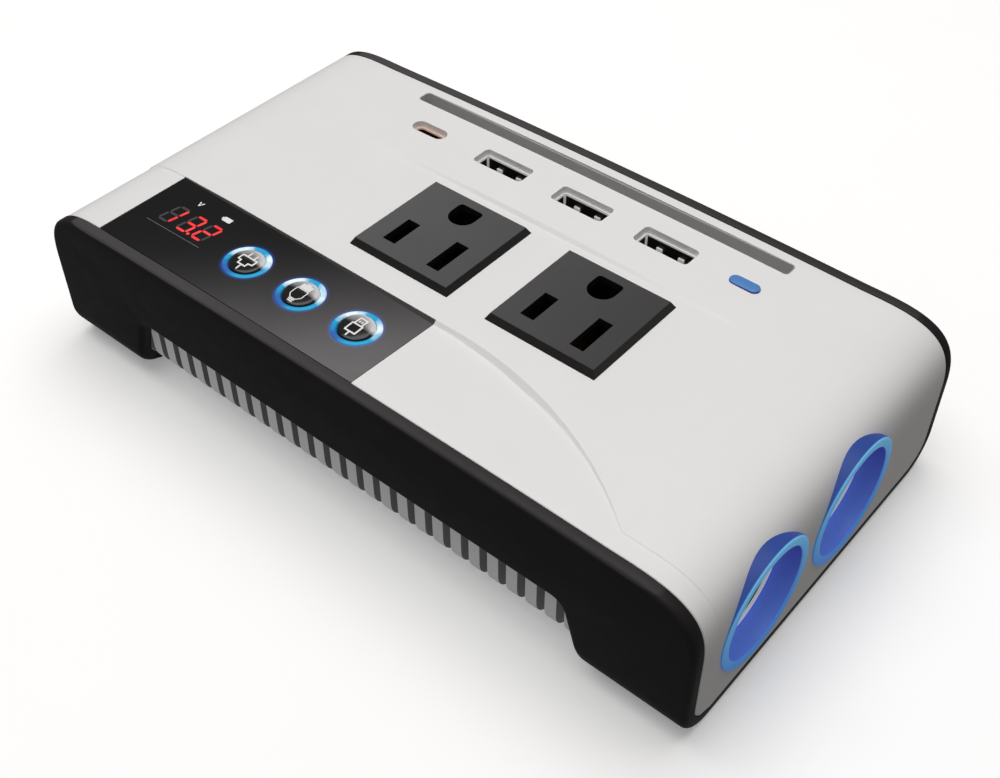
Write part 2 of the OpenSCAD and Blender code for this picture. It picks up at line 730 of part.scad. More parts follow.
fan_x = [-80.5, -73.5];
fan_z = floor_z + fit_gap + fan_w / 2;
fan_duct_d = 23;
fan_hub_d = 9;
fan_base_t = 1.4;
fan_arm = [0.9, 1.4];    // thickness along the axis, and width
fan_pin = [1.5, 1.5];    // diameter, and how far its tip lies inside the frame
rotor_gap = 0.05;
fan_depth = fan_x[1] - fan_x[0];
module fan_frame() color("dimgray") translate([fan_x[0], fan_y, fan_z]) {
    difference() {
        box([0, -fan_w / 2, -fan_w / 2], [fan_depth, fan_w / 2, fan_w / 2]);
        x_bar(fan_duct_d, -over, fan_depth + over);
    }
    x_bar(fan_hub_d, fan_depth - fan_base_t, fan_depth);
    for (a = [45 : 120 : 285]) rotate([a, 0, 0])
        translate([fan_depth - fan_base_t + fan_arm[0] / 4, -fan_arm[1] / 2, fan_hub_d / 2 - over])
            cube([fan_arm[0], fan_arm[1], (fan_duct_d - fan_hub_d) / 2 + 1.5 * over]);
    x_bar(fan_pin[0], fan_pin[1], fan_depth - fan_base_t / 2);
}

blade_t = 0.7;
blade_l = 8;
blade_root = 0.5;    // overlap of a blade with the hub
blade_pitch = 40;
blade_tip_d = 21.6;
rotor_l = 4.4;
rotor_inset = 0.6;
module fan_rotor() color("black") translate([fan_x[0] + rotor_inset, fan_y, fan_z]) difference() {
    union() {
        x_bar(fan_hub_d, 0, rotor_l);
        intersection() {
            x_bar(blade_tip_d, 0, rotor_l);
            for (i = [0 : fan_blades - 1]) rotate([360 * i / fan_blades, 0, 0])
                translate([rotor_l / 2, 0, fan_hub_d / 2 - blade_root + blade_l / 2])
                    rotate([0, 0, blade_pitch]) cube([far, blade_t, blade_l], center = true);
        }
    }
    x_bar(fan_pin[0] + 2 * rotor_gap, rotor_inset, far);
}

// ---- main board ----

main_board_x = [-71.5, 38];
main_board_y = [-33, 37];
standoff_h = 3;
main_board_z = sink_floor_z + standoff_h;
main_top_z = main_board_z + board_t;
standoff_spot = [[-67, -28], [-67, 32], [33, -28], [33, 32]];
standoff_d = 5;
board_screw_d = 2.4;
board_screw_head = [4.4, 1.4];

module main_board() color("darkgreen")
    plate(main_board_x, main_board_y, main_board_z, board_t, standoff_spot, board_screw_d + 2 * fit_gap);

module board_standoffs() color("goldenrod") for (p = standoff_spot) translate([p[0], p[1], sink_floor_z])
    tube(standoff_d, board_screw_d + fit_gap, standoff_h);

module board_screws() color("silver") {
    for (p = standoff_spot) translate([p[0], p[1], main_top_z]) {
        cylinder(d = board_screw_head[0], h = board_screw_head[1]);
        translate([0, 0, over / 2 - board_t - standoff_h])
            cylinder(d = board_screw_d, h = board_t + standoff_h);
    }
    for (x = post_x) translate([x, post_y, display_board_z]) post_screw();
    for (x = usb_post_x) translate([x, usb_post_y, usb_board_z]) post_screw();
}

// Screw up through a hanging board into its post
module post_screw() translate([0, 0, -board_t]) {
    translate([0, 0, -post_screw_head[1]]) cylinder(d = post_screw_head[0], h = post_screw_head[1]);
    cylinder(d = post_screw_d - fit_gap, h = board_t + post_screw_grip);
}
post_screw_head = [3, 1];
post_screw_grip = 3;

core = [26, 12, 18];
core_window = [18.4, 11.6];
core_at = [-46, 4];
winding = [17.6, 22, 11];
winding_r = 2;
module transformer_core() color("darkslategray")
    translate([core_at[0], core_at[1], main_top_z + core[2] / 2]) difference() {
        cube(core, center = true);
        cube([core_window[0], core[1] + over, core_window[1]], center = true);
    }

module transformer_winding() color("gold")
    translate([core_at[0], core_at[1], main_top_z + core[2] / 2]) along_y(winding[1])
        rounded_rect([winding[0], winding[2]], winding_r);

capacitor = [10, 17];    // diameter and height
capacitor_x = -65.6;
capacitor_y = [-11, 0, 11];
module input_capacitors() color("midnightblue") for (y = capacitor_y)
    translate([capacitor_x, y, main_top_z]) cylinder(d = capacitor[0], h = capacitor[1]);

choke_at = [-11, 0];
choke_ring = [7, 6.6];    // radius of the ring's middle line, and its thickness
module output_choke() color("peru")
    translate([choke_at[0], choke_at[1], main_top_z + choke_ring[1] / 2 + fit_gap])
        rotate_extrude() translate([choke_ring[0], 0]) circle(d = choke_ring[1]);

transistor = [10, 4.4, 13];
transistor_x = [-60, -44, -28, -12];
transistor_drop = 2;    // below the board's top, at its front edge
module power_transistors() color("black") for (x = transistor_x)
    translate([x, sink_t + fin_d - cover_w / 2 + fit_gap, main_top_z - transistor_drop]) cube(transistor);

fuse_at = [8, -24];
holder = [16, 7, 5];
holder_slot = [13.2, 3.2];
holder_floor = 1;
fuse_body = [12.8, 2.8, 6];
fuse_leg = [2.8, 0.8, 4];
fuse_leg_x = 4;
module fuse_holder() color("black") translate([fuse_at[0], fuse_at[1], main_top_z]) difference() {
    linear_extrude(holder[2]) square([holder[0], holder[1]], center = true);
    translate([0, 0, holder_floor]) linear_extrude(far) square(holder_slot, center = true);
}

module blade_fuse() color("orangered") translate([fuse_at[0], fuse_at[1], main_top_z + holder_floor]) {
    for (s = [-1, 1]) translate([s * fuse_leg_x, 0, 0])
        linear_extrude(fuse_leg[2]) square([fuse_leg[0], fuse_leg[1]], center = true);
    translate([0, 0, fuse_leg[2]]) linear_extrude(fuse_body[2])
        square([fuse_body[0], fuse_body[1]], center = true);
}

top_cover();
left_end();
front_right_end();
back_right_end();
base_shell();
heat_sink();
rubber_pads();
case_screws();
control_panel();
ac_button();
socket_button();
usb_button();
ac_light_ring();
socket_light_ring();
usb_light_ring();
display_board();
display_module();
button_switches();
left_outlet();
right_outlet();
left_outlet_contacts();
right_outlet_contacts();
left_usb_a_shell();
middle_usb_a_shell();
right_usb_a_shell();
left_usb_a_tongue();
middle_usb_a_tongue();
right_usb_a_tongue();
usb_c_shell();
usb_c_tongue();
usb_board();
indicator_lens();
indicator_led();
front_socket_collar();
back_socket_collar();
front_socket_barrel();
back_socket_barrel();
front_socket_insulator();
back_socket_insulator();
front_socket_contact();
back_socket_contact();
socket_bracket();
lead_gland();
fan_frame();
fan_rotor();
main_board();
board_standoffs();
board_screws();
transformer_core();
transformer_winding();
input_capacitors();
output_choke();
power_transistors();
fuse_holder();
blade_fuse();
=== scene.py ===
import math

import bmesh
import bpy
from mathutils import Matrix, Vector


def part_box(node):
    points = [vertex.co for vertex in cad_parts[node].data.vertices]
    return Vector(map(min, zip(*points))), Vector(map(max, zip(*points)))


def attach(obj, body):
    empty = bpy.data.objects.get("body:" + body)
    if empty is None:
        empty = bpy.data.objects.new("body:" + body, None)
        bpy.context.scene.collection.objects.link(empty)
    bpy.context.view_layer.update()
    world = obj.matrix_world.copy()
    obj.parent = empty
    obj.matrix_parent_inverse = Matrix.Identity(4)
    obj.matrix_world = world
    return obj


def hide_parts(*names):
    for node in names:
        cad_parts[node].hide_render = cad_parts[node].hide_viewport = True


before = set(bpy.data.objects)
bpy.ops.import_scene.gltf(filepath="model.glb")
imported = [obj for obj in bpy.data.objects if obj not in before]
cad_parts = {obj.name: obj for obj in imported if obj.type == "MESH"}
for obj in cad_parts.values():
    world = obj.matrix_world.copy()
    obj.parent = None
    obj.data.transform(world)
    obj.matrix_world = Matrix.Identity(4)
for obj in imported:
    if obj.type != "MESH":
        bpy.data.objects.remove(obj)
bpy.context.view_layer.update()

# Sizes are in millimetres until a mesh is made. They are in the CAD's own frame:
# X along the housing towards the car sockets, Y from front to back, Z up.
MM = 0.001


def corners(node):
    low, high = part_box(node)
    return low / MM, high / MM


def middle(node):
    low, high = corners(node)
    return (low + high) / 2


def span(node):
    low, high = corners(node)
    return high - low


# ---- sizes taken from the frame ----

FIT_GAP = 0.1
COVER_NODES = ("top_cover", "left_end", "front_right_end", "back_right_end")
COVER_HIGH = corners("top_cover")[1]
COVER_FOOT_Z = corners("left_end")[0].z
SHELL_LOW, SHELL_HIGH = corners("base_shell")
PANEL_LOW, PANEL_HIGH = corners("control_panel")
END_X = SHELL_HIGH.x
SIDE_Y = corners("left_end")[1].y
SHELL_Y = SHELL_HIGH.y
SHELL_T = SHELL_Y - SIDE_Y - FIT_GAP
CROWN_Z = COVER_HIGH.z
OUTLET_PROUD = 1.6
OUTLET_Z = corners("left_outlet")[1].z
DECK_Z = OUTLET_Z - OUTLET_PROUD
PANEL_X = (PANEL_LOW.x - FIT_GAP, PANEL_HIGH.x + FIT_GAP)
PANEL_BACK_Y = PANEL_HIGH.y + FIT_GAP
RING_FLANGE = span("ac_light_ring").x / 2
RING_OUTER = RING_FLANGE - 0.85
RING_INNER = RING_OUTER - 1.15
CAP_FLANGE = span("ac_button").x / 2
CAP_R = CAP_FLANGE - 0.8
BARREL_X = corners("front_socket_barrel")[1].x
BUTTONS = ("ac", "socket", "usb")
USB_A = ("left", "middle", "right")

# ---- sizes of the housing's curves ----

CROWN_R = 2400
SHOULDER_L = 21
SHOULDER_Z = 20.4
SHOULDER_N = 3.4
SHOULDER_X = END_X - SHOULDER_L
SHELL_EDGE_R = 8.3
COVER_EDGE_R = 5.3
ARCH_TOP_Z = 18.3
ARCH_TOP_X = 57.1
ARCH_LEAN = math.tan(math.radians(16.3))
DECK_CURVE_R = 85.2
DECK_CURVE_X = 10
BAND_RIM = 0.15
BAND_FALL = 0.07
BAND_LOW_X = 30
STRIP_Y = 17.4          # front edge of the raised strip that holds the ports
RISER = 0.85            # width of the riser up to that strip
WALL = 2.2
FIN_PITCH = 4.6
FIN_W = 2.75
COLLAR_R = 13.8
MOUTH_R = 11.7
BORE_R = 11.4
COLLAR_EDGE = 0.35
GLAND_HOLE_R = 5.5
VENT_R = 11
VENT_PITCH = 3.6
PAD_AT = (73.5, 24)
SCREW_AT = (80, 35)


def crown_z(x):
    return CROWN_Z - x * x / (2 * CROWN_R)


def band_slope(x):
    rise = (x - PANEL_X[0]) / (BAND_LOW_X - PANEL_X[0])
    fall = (SHOULDER_X - x) / (SHOULDER_X - BAND_LOW_X)
    return BAND_FALL * max(0, min(rise, fall))


def band_z(x, y):
    return crown_z(x) - BAND_RIM - band_slope(x) * (y + SIDE_Y)


def deck_z(x):
    return min(DECK_Z, crown_z(x))


def deck_front(x):
    """Y of the deck's front edge, and how far that edge is turned from the X axis."""
    if x < DECK_CURVE_X:
        return PANEL_BACK_Y, 0
    across = min(x - DECK_CURVE_X, 55)
    turn = math.asin(across / DECK_CURVE_R)
    return PANEL_BACK_Y - DECK_CURVE_R * (1 - math.cos(turn)), turn


# ---- mesh helpers ----

def piece(name, verts, faces, material, smooth=35):
    mesh = bpy.data.meshes.new(name)
    mesh.from_pydata([Vector(v) * MM for v in verts], [], faces)
    mesh.validate()
    obj = bpy.data.objects.new(name, mesh)
    bpy.context.scene.collection.objects.link(obj)
    tidy_normals(obj)
    shade(obj, smooth)
    if material:
        mesh.materials.append(material)
    return obj


def tidy_normals(obj):
    bm = bmesh.new()
    bm.from_mesh(obj.data)
    bmesh.ops.recalc_face_normals(bm, faces=bm.faces)
    bm.to_mesh(obj.data)
    bm.free()


def shade(obj, angle):
    obj.data.shade_smooth()
    obj.data.set_sharp_from_angle(angle=math.radians(angle))


def finished(obj, body, slot, *replaced):
    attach(obj, body)
    if replaced:
        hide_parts(*replaced)
    return obj


def carve(obj, tool, operation="DIFFERENCE"):
    cut = obj.modifiers.new("carve", "BOOLEAN")
    cut.object = tool
    cut.operation = operation
    cut.solver = "EXACT"
    bpy.context.view_layer.update()
    graph = bpy.context.evaluated_depsgraph_get()
    done = bpy.data.meshes.new_from_object(obj.evaluated_get(graph))
    obj.modifiers.clear()
    obj.data = done
    bpy.data.objects.remove(tool)


def joined(name, parts, material=None, smooth=35):
    """One piece from several lists of (verts, faces)."""
    verts, faces = [], []
    for v, f in parts:
        base = len(verts)
        verts += list(v)
        faces += [[i + base for i in face] for face in f]
    return piece(name, verts, faces, material, smooth)


def rounded(points, steps=8):
    """A closed outline given as (x, y, corner radius)."""
    out = []
    for i, (x, y, r) in enumerate(points):
        p = Vector((x, y))
        a = Vector(points[i - 1][:2])
        b = Vector(points[(i + 1) % len(points)][:2])
        if r == 0:
            out.append((x, y))
            continue
        u, v = (a - p).normalized(), (b - p).normalized()
        half = math.acos(max(-1, min(1, u.dot(v)))) / 2
        c = p + (u + v).normalized() * r / math.sin(half)
        s, e = p + u * r / math.tan(half) - c, p + v * r / math.tan(half) - c
        start = math.atan2(s.y, s.x)
        sweep = (math.atan2(e.y, e.x) - start + math.pi) % (2 * math.pi) - math.pi
        for k in range(steps + 1):
            t = start + sweep * k / steps
            out.append((c.x + r * math.cos(t), c.y + r * math.sin(t)))
    return out


def slot_outline(w, h, r, steps=8):
    r = min(r, w / 2 - 1e-3, h / 2 - 1e-3)
    return rounded([(-w / 2, -h / 2, r), (w / 2, -h / 2, r), (w / 2, h / 2, r), (-w / 2, h / 2, r)], steps)


def prism(outline, low, high, place):
    """An outline swept from low to high, each point put in space by place(u, v, w)."""
    n = len(outline)
    verts = [place(u, v, w) for w in (low, high) for u, v in outline]
    faces = [[i, (i + 1) % n, n + (i + 1) % n, n + i] for i in range(n)]
    return verts, faces + [list(range(n))[::-1], list(range(n, 2 * n))]


def upright(u, v, w):
    return (u, v, w)


def across(u, v, w):
    return (u, w, v)


def lengthways(u, v, w):
    return (w, u, v)


def rings(loops, closed=False, caps=True):
    """Skin between loops of equal length."""
    n = len(loops[0])
    verts = [p for loop in loops for p in loop]
    faces = []
    for k in range(len(loops) if closed else len(loops) - 1):
        a, b = k * n, (k + 1) % len(loops) * n
        faces += [[a + i, a + (i + 1) % n, b + (i + 1) % n, b + i] for i in range(n)]
    if caps and not closed:
        faces += [list(range(n))[::-1], list(range(len(verts) - n, len(verts)))]
    return verts, faces


def lathe(profile, place, steps=96, closed=True):
    """A profile of (radius, height) turned about place's third direction."""
    loops = [[place(r * math.cos(math.tau * k / steps), r * math.sin(math.tau * k / steps), h)
              for k in range(steps)] for r, h in profile]
    return rings(loops, closed, caps=not closed)


def shifted(place, offset):
    def put(u, v, w):
        return Vector(place(u, v, w)) + Vector(offset)
    return put


def circle(r, steps=72):
    return [(r * math.cos(math.tau * k / steps), r * math.sin(math.tau * k / steps)) for k in range(steps)]


# ---- materials ----

def linear(value):
    value /= 255
    return value / 12.92 if value <= 0.04045 else ((value + 0.055) / 1.055) ** 2.4


def rgb(r, g, b):
    return (linear(r), linear(g), linear(b), 1)


DARKEST = (0, 0, 0, 1)


class Look:
    """A principled material with object coordinates at hand."""

    def __init__(self, name):
        self.material = bpy.data.materials.new(name)
        self.material.use_nodes = True
        self.nodes = self.material.node_tree.nodes
        self.links = self.material.node_tree.links
        self.shader = self.nodes["Principled BSDF"]
        self.coords = self.nodes.new("ShaderNodeTexCoord").outputs["Object"]

    def link(self, a, b):
        self.links.new(a, b)

    def noise(self, scale, detail=4, stretch=(1, 1, 1), roughness=0.55):
        turn = self.nodes.new("ShaderNodeMapping")
        turn.inputs["Scale"].default_value = stretch
        self.link(self.coords, turn.inputs["Vector"])
        node = self.nodes.new("ShaderNodeTexNoise")
        node.inputs["Scale"].default_value = scale
        node.inputs["Detail"].default_value = detail
        node.inputs["Roughness"].default_value = roughness
        self.link(turn.outputs[0], node.inputs["Vector"])
        return node.outputs["Fac"]

    def spread(self, value, low, high, start=0.3, end=0.7):
        node = self.nodes.new("ShaderNodeMapRange")
        node.inputs["From Min"].default_value = start
        node.inputs["From Max"].default_value = end
        node.inputs["To Min"].default_value = low
        node.inputs["To Max"].default_value = high
        self.link(value, node.inputs["Value"])
        return node.outputs["Result"]

    def mix(self, factor, a, b):
        node = self.nodes.new("ShaderNodeMix")
        node.data_type = "RGBA"
        for socket, value in ((node.inputs["Factor"], factor), (node.inputs["A"], a), (node.inputs["B"], b)):
            if isinstance(value, bpy.types.NodeSocket):
                self.link(value, socket)
            else:
                socket.default_value = value
        return node.outputs["Result"]

    def maths(self, operation, a, b=0.0):
        node = self.nodes.new("ShaderNodeMath")
        node.operation = operation
        for socket, value in zip(node.inputs, (a, b)):
            if isinstance(value, bpy.types.NodeSocket):
                self.link(value, socket)
            else:
                socket.default_value = value
        return node.outputs[0]

    def axis(self, name, origin=0.0):
        """Distance along one axis, from an origin in mm."""
        split = self.nodes.new("ShaderNodeSeparateXYZ")
        self.link(self.coords, split.inputs[0])
        return self.maths("SUBTRACT", split.outputs[name], origin * MM) if origin else split.outputs[name]

    def product(self, a, *others):
        for other in others:
            a = self.maths("MULTIPLY", a, other)
        return a

    def square_sum(self, a, b):
        return self.maths("ADD", self.maths("MULTIPLY", a, a), self.maths("MULTIPLY", b, b))

    def below(self, axis, at, soft=0.06):
        """1 below a place in mm along an axis, and 0 above it."""
        return self.spread(self.axis(axis), 1, 0, (at - soft) * MM, (at + soft) * MM)

    def bump(self, height, strength, distance=0.0001):
        node = self.nodes.new("ShaderNodeBump")
        node.inputs["Strength"].default_value = strength
        node.inputs["Distance"].default_value = distance
        self.link(height, node.inputs["Height"])
        self.link(node.outputs[0], self.shader.inputs["Normal"])

    def colour(self, value):
        self.link(value, self.shader.inputs["Base Color"])

    def rough(self, value):
        self.link(value, self.shader.inputs["Roughness"])

    def set(self, **values):
        for name, value in values.items():
            self.shader.inputs[name.replace("_", " ")].default_value = value


def moulded(name, colour, rough=0.45, grain=0.12, vary=0.06, scale=2600, specular=0.5, coat=0.0):
    """Moulded plastic: a fine spark-eroded grain, faint flow marks and uneven gloss."""
    look = Look(name)
    dark = tuple(c * (1 - vary) for c in colour[:3]) + (1,)
    light = tuple(min(1, c * (1 + vary)) for c in colour[:3]) + (1,)
    look.colour(look.mix(look.spread(look.noise(55, 5), 0, 1), dark, light))
    look.rough(look.spread(look.noise(240, 4), rough - 0.05, rough + 0.05))
    look.bump(look.noise(scale, 2), grain, 0.00005)
    look.set(Specular_IOR_Level=specular, Coat_Weight=coat, Coat_Roughness=0.05)
    return look.material


def metal(name, colour, rough=0.25, brush=(1, 1, 12), grain=0.1, metallic=1.0):
    """Metal drawn or brushed along one direction."""
    look = Look(name)
    dark = tuple(c * 0.86 for c in colour[:3]) + (1,)
    look.colour(look.mix(look.noise(500, 6, brush), dark, colour))
    look.rough(look.spread(look.noise(900, 5, brush), rough - 0.08, rough + 0.08))
    look.bump(look.noise(1500, 4, brush), grain, 0.00004)
    look.set(Metallic=metallic)
    return look.material


def lit(name, deep, bright, strength):
    """Translucent plastic lit from below, a little patchy as light pipes are."""
    look = Look(name)
    tone = look.mix(look.spread(look.noise(260, 2), 0, 1), deep, bright)
    look.colour(tone)
    look.link(tone, look.shader.inputs["Emission Color"])
    look.set(Emission_Strength=strength, Roughness=0.16, Coat_Weight=0.4, Coat_Roughness=0.06)
    return look.material


def glow_with_painted_shade(name, upper, lower, axis, at, glow):
    """Faintly glowing plastic or metal that changes colour at a place in mm along one axis, darker on one
    side as painted shade.
    """
    look = Look(name)
    tone = look.mix(look.below(axis, at), upper, lower)
    look.colour(look.mix(look.spread(look.noise(70, 4), 0, 0.05), tone, DARKEST))
    look.rough(look.spread(look.noise(260, 4), 0.25, 0.35))
    look.bump(look.noise(2600, 2), 0.12, 0.00005)
    look.link(tone, look.shader.inputs["Emission Color"])
    look.set(Emission_Strength=glow, Specular_IOR_Level=0.25)
    return look.material


WHITE = moulded("cover_white", rgb(242, 241, 240), 0.42, 0.08, 0.01, 3200, 0.4)
TRIM = moulded("port_black", rgb(16, 16, 17), 0.5, 0.1, 0.1, 2600, 0.2)
# Painted shade: the cover's white darkened for the groove's walls and floor.
RECESS_PAINTED_SHADE = moulded("recess_painted_shade", rgb(196, 194, 193), 0.5, 0.08, 0.02)
LIP_WHITE = moulded("lip_white", rgb(245, 243, 242), 0.45, 0.06, 0.01)
BRASS = metal("contact_brass", (0.85, 0.62, 0.28, 1), 0.25)
SCREW = metal("screw_steel", (0.5, 0.5, 0.52, 1), 0.3, (1, 1, 1))
BOARD = moulded("board_green", rgb(24, 92, 50), 0.35, 0.2, 0.15, 900, 0.5, 0.2)
RUBBER = moulded("pad_rubber", rgb(26, 26, 26), 0.75, 0.3, 0.12, 1500, 0.3)
LENS_TOP_Z = corners("indicator_lens")[1].z
# Lit lens with a lighter top; painted shade makes its sides indigo below the top.
INDICATOR = glow_with_painted_shade("indicator_blue", rgb(78, 130, 190), rgb(40, 42, 140), "Z", LENS_TOP_Z - 0.14, 0.16)
WINDING = moulded("winding_yellow", rgb(205, 160, 60), 0.5, 0.3, 0.15, 700)
CAPACITOR = moulded("capacitor_blue", rgb(36, 48, 110), 0.3, 0.05, 0.08)
FUSE = moulded("fuse_orange", rgb(230, 120, 30), 0.25, 0.05, 0.05)
MARK = moulded("marking_white", rgb(250, 250, 250), 0.4, 0.02, 0.02)
SOFT_MARK = moulded("marking_soft", rgb(238, 238, 238), 0.4, 0.02, 0.1, 1200)
RULE = moulded("marking_grey", rgb(120, 120, 120), 0.4, 0.02, 0.02)
GHOST = moulded("segment_dark", rgb(70, 70, 71), 0.3, 0.02, 0.05)
LIT_RED = lit("segment_red", rgb(205, 40, 44), rgb(232, 66, 70), 0.75)
# Steel barrel: a silver rim lit by a painted glow, and painted shade making the inside black.
BARREL = glow_with_painted_shade("barrel_steel", (0.9, 0.9, 0.89, 1), rgb(5, 5, 5), "X", BARREL_X - 0.5, 0.3)


def sink_look():
    """Brushed aluminium that is darker between the fins than on their faces: painted shade in the gaps, and
    a faint painted glow that is strongest on the fin faces towards the left end.
    """
    look = Look("sink_aluminium")
    x = look.axis("X")
    turn = look.maths("FRACT", look.maths("MULTIPLY", x, 1 / (FIN_PITCH * MM)))
    beside = look.maths("ABSOLUTE", look.maths("SUBTRACT", turn, 0.5))
    edge = FIN_W / 2 / FIN_PITCH
    # 1 on the fin faces, 0 in the gaps, where the darker tone is painted shade.
    on_fin = look.spread(beside, 1, 0, edge - 0.008, edge - 0.001)
    left = look.spread(x, 1, 0.75, -0.06, 0.05)
    tone = look.mix(on_fin, rgb(88, 88, 88), rgb(220, 220, 220))
    look.colour(look.mix(look.spread(look.noise(30, 4, (12, 1, 1)), 0, 0.1), tone, rgb(90, 90, 90)))
    look.rough(look.spread(look.noise(300, 4), 0.42, 0.55))
    look.bump(look.noise(900, 3, (12, 1, 1)), 0.05, 0.00005)
    look.set(Metallic=0.15, Specular_IOR_Level=0.3, Emission_Color=(1, 1, 1, 1))
    # Painted light: the whole sink glows faintly, the fin faces more, most towards the left end.
    painted_light = look.product(on_fin, left, 0.1)
    look.link(look.maths("ADD", painted_light, 0.03), look.shader.inputs["Emission Strength"])
    return look.material


def shell_look():
    """Satin black, with painted light on the flat rim round the cover: a little greyer, most towards the
    left end.
    """
    look = Look("shell_black")
    x = look.axis("X")
    above = look.maths("ADD", look.axis("Z"), look.product(x, x, 0.5 / (CROWN_R * MM)))
    # Painted light: the upward flat rim turns greyer, the more so towards the left end.
    rim = look.spread(above, 0, 1, (CROWN_Z - 0.55) * MM, (CROWN_Z - 0.35) * MM)
    left = look.spread(x, 1, 0.35, -0.035, 0.035)
    base = look.mix(look.spread(look.noise(45, 5), 0, 1), rgb(31, 29, 29), rgb(35, 32, 33))
    look.colour(look.mix(look.maths("MULTIPLY", rim, left), base, rgb(74, 72, 73)))
    look.rough(look.spread(look.noise(240, 4), 0.44, 0.52))
    look.bump(look.noise(2600, 2), 0.14, 0.00005)
    look.set(Specular_IOR_Level=0.16)
    return look.material


def port_look(name, rim, node, back):
    """A bright rim at the mouth and bright spring tabs on the back wall, with painted shade darkening the
    rest of the inside, and a faint painted glow.
    """
    look = Look(name)
    top = corners(node)[1].z
    mouth = look.spread(look.axis("Z"), 0, 1, (top - 0.55) * MM, (top - 0.4) * MM)
    y = look.axis("Y")
    tab = look.product(look.spread(y, 1, 0, (back - 0.02) * MM, back * MM),
                       look.spread(y, 0, 1, (back - 0.56) * MM, (back - 0.52) * MM))
    # Painted shade: the metal below the mouth and away from the tabs is painted near-black.
    tone = look.mix(look.maths("MAXIMUM", mouth, tab), rgb(16, 16, 16), rim)
    look.colour(look.mix(look.spread(look.noise(400, 4), 0, 0.08), tone, DARKEST))
    # Painted light: the rim and tabs glow faintly.
    look.link(tone, look.shader.inputs["Emission Color"])
    look.rough(look.spread(look.noise(300, 4), 0.26, 0.36))
    look.set(Metallic=0.2, Emission_Strength=0.25, Specular_IOR_Level=0.3)
    return look.material


def outlet_look():
    """Grey face with painted shade: the face darkens to the right, the edges are near-black and the slots
    black deep down.
    """
    look = Look("outlet_grey")
    # Painted shade: darker towards the right outlet.
    tone = look.mix(look.spread(look.axis("X"), 0, 1, -0.024, 0.036), rgb(92, 91, 92), rgb(62, 61, 61))
    # Painted shade: near-black below the face's edge, darker still below the deck.
    for at, colour in ((OUTLET_Z - 0.1, rgb(30, 29, 29)), (DECK_Z, rgb(9, 9, 9))):
        tone = look.mix(look.below("Z", at), tone, colour)
    look.colour(look.mix(look.spread(look.noise(70, 4), 0, 0.05), tone, DARKEST))
    look.rough(look.spread(look.noise(260, 4), 0.38, 0.46))
    look.bump(look.noise(2600, 2), 0.12, 0.00005)
    look.set(Specular_IOR_Level=0.3)
    return look.material


def collar_look():
    """Satin blue with painted light and shade: a light front face that is lighter higher up, darker indigo
    flanks and bore that lighten downwards, and a faint painted glow.
    """
    look = Look("collar_blue")
    low = look.spread(look.axis("Z"), 1, 0, 0.008, 0.026)
    inside = look.mix(low, rgb(62, 66, 172), rgb(92, 124, 218))
    high = look.axis("Z", middle("front_socket_collar").z)
    reach = [look.square_sum(look.axis("Y", middle(end + "_socket_collar").y), high)
             for end in ("front", "back")]
    outside = look.spread(look.maths("MINIMUM", *reach), 0, 1, 0.0125 ** 2, 0.0126 ** 2)
    flank = look.mix(look.spread(high, 1, 0, -0.002, 0.012), rgb(46, 70, 140), rgb(70, 118, 196))
    deep = look.mix(outside, inside, flank)
    face = look.mix(look.spread(look.axis("Z"), 0, 1, 0.01, 0.03), rgb(84, 150, 232), rgb(118, 196, 246))
    front = look.spread(look.axis("X"), 0, 1, (END_X + 0.02) * MM, (END_X + 0.25) * MM)
    tone = look.mix(front, deep, face)
    look.colour(tone)
    look.link(tone, look.shader.inputs["Emission Color"])
    look.rough(look.spread(look.noise(300, 3), 0.34, 0.42))
    look.bump(look.noise(1800, 2), 0.04, 0.00005)
    # Painted light: the collar glows faintly in its own colours.
    look.set(Emission_Strength=0.3, Specular_IOR_Level=0.15)
    return look.material


def panel_look():
    """Gloss black with a painted reflection that turns it grey towards its right front corner, and painted
    blue light round each ring.
    """
    look = Look("panel_gloss")
    # Painted reflection: grey rising along X and towards the front.
    along = look.spread(look.axis("X"), 0, 1, PANEL_X[0] * MM, PANEL_X[1] * MM)
    front = look.spread(look.axis("Y"), 0, 1, PANEL_BACK_Y * MM, -SIDE_Y * MM)
    level = look.maths("ADD", along, look.maths("MULTIPLY", front, 0.32))
    ramp = look.nodes.new("ShaderNodeValToRGB")
    ramp.color_ramp.interpolation = "B_SPLINE"
    ramp.color_ramp.elements[0].position = 0.25
    ramp.color_ramp.elements[0].color = rgb(26, 25, 26)
    ramp.color_ramp.elements[1].position = 1.0
    ramp.color_ramp.elements[1].color = rgb(128, 126, 127)
    ramp.color_ramp.elements.new(0.6).color = rgb(38, 37, 37)
    look.link(look.maths("MULTIPLY", level, 0.8), ramp.inputs[0])
    look.colour(look.mix(look.spread(look.noise(60, 4), 0, 0.12), ramp.outputs[0], rgb(20, 20, 20)))
    look.rough(look.spread(look.noise(300, 3), 0.2, 0.26))
    look.bump(look.noise(900, 2), 0.02)
    # Painted light: blue glow cast from each ring onto the panel.
    glow = None
    for name in BUTTONS:
        c = middle(name + "_light_ring")
        away = look.nodes.new("ShaderNodeVectorMath")
        away.operation = "DISTANCE"
        away.inputs[1].default_value = Vector((c.x, c.y, band_z(c.x, c.y))) * MM
        look.link(look.coords, away.inputs[0])
        near = look.spread(away.outputs["Value"], 1, 0, RING_OUTER * MM, (RING_OUTER + 0.9) * MM)
        near = look.maths("POWER", near, 2)
        glow = near if glow is None else look.maths("MAXIMUM", glow, near)
    look.set(Emission_Color=rgb(16, 84, 200), Specular_IOR_Level=0.2)
    look.link(look.maths("MULTIPLY", glow, 0.5), look.shader.inputs["Emission Strength"])
    return look.material


SINK = sink_look()
BLACK = shell_look()
GREY = outlet_look()
USB_A_BACK_Y = corners("left_usb_a_shell")[1].y - 0.35
USB_C_NO_TAB_Y = corners("usb_c_shell")[0].y - 5
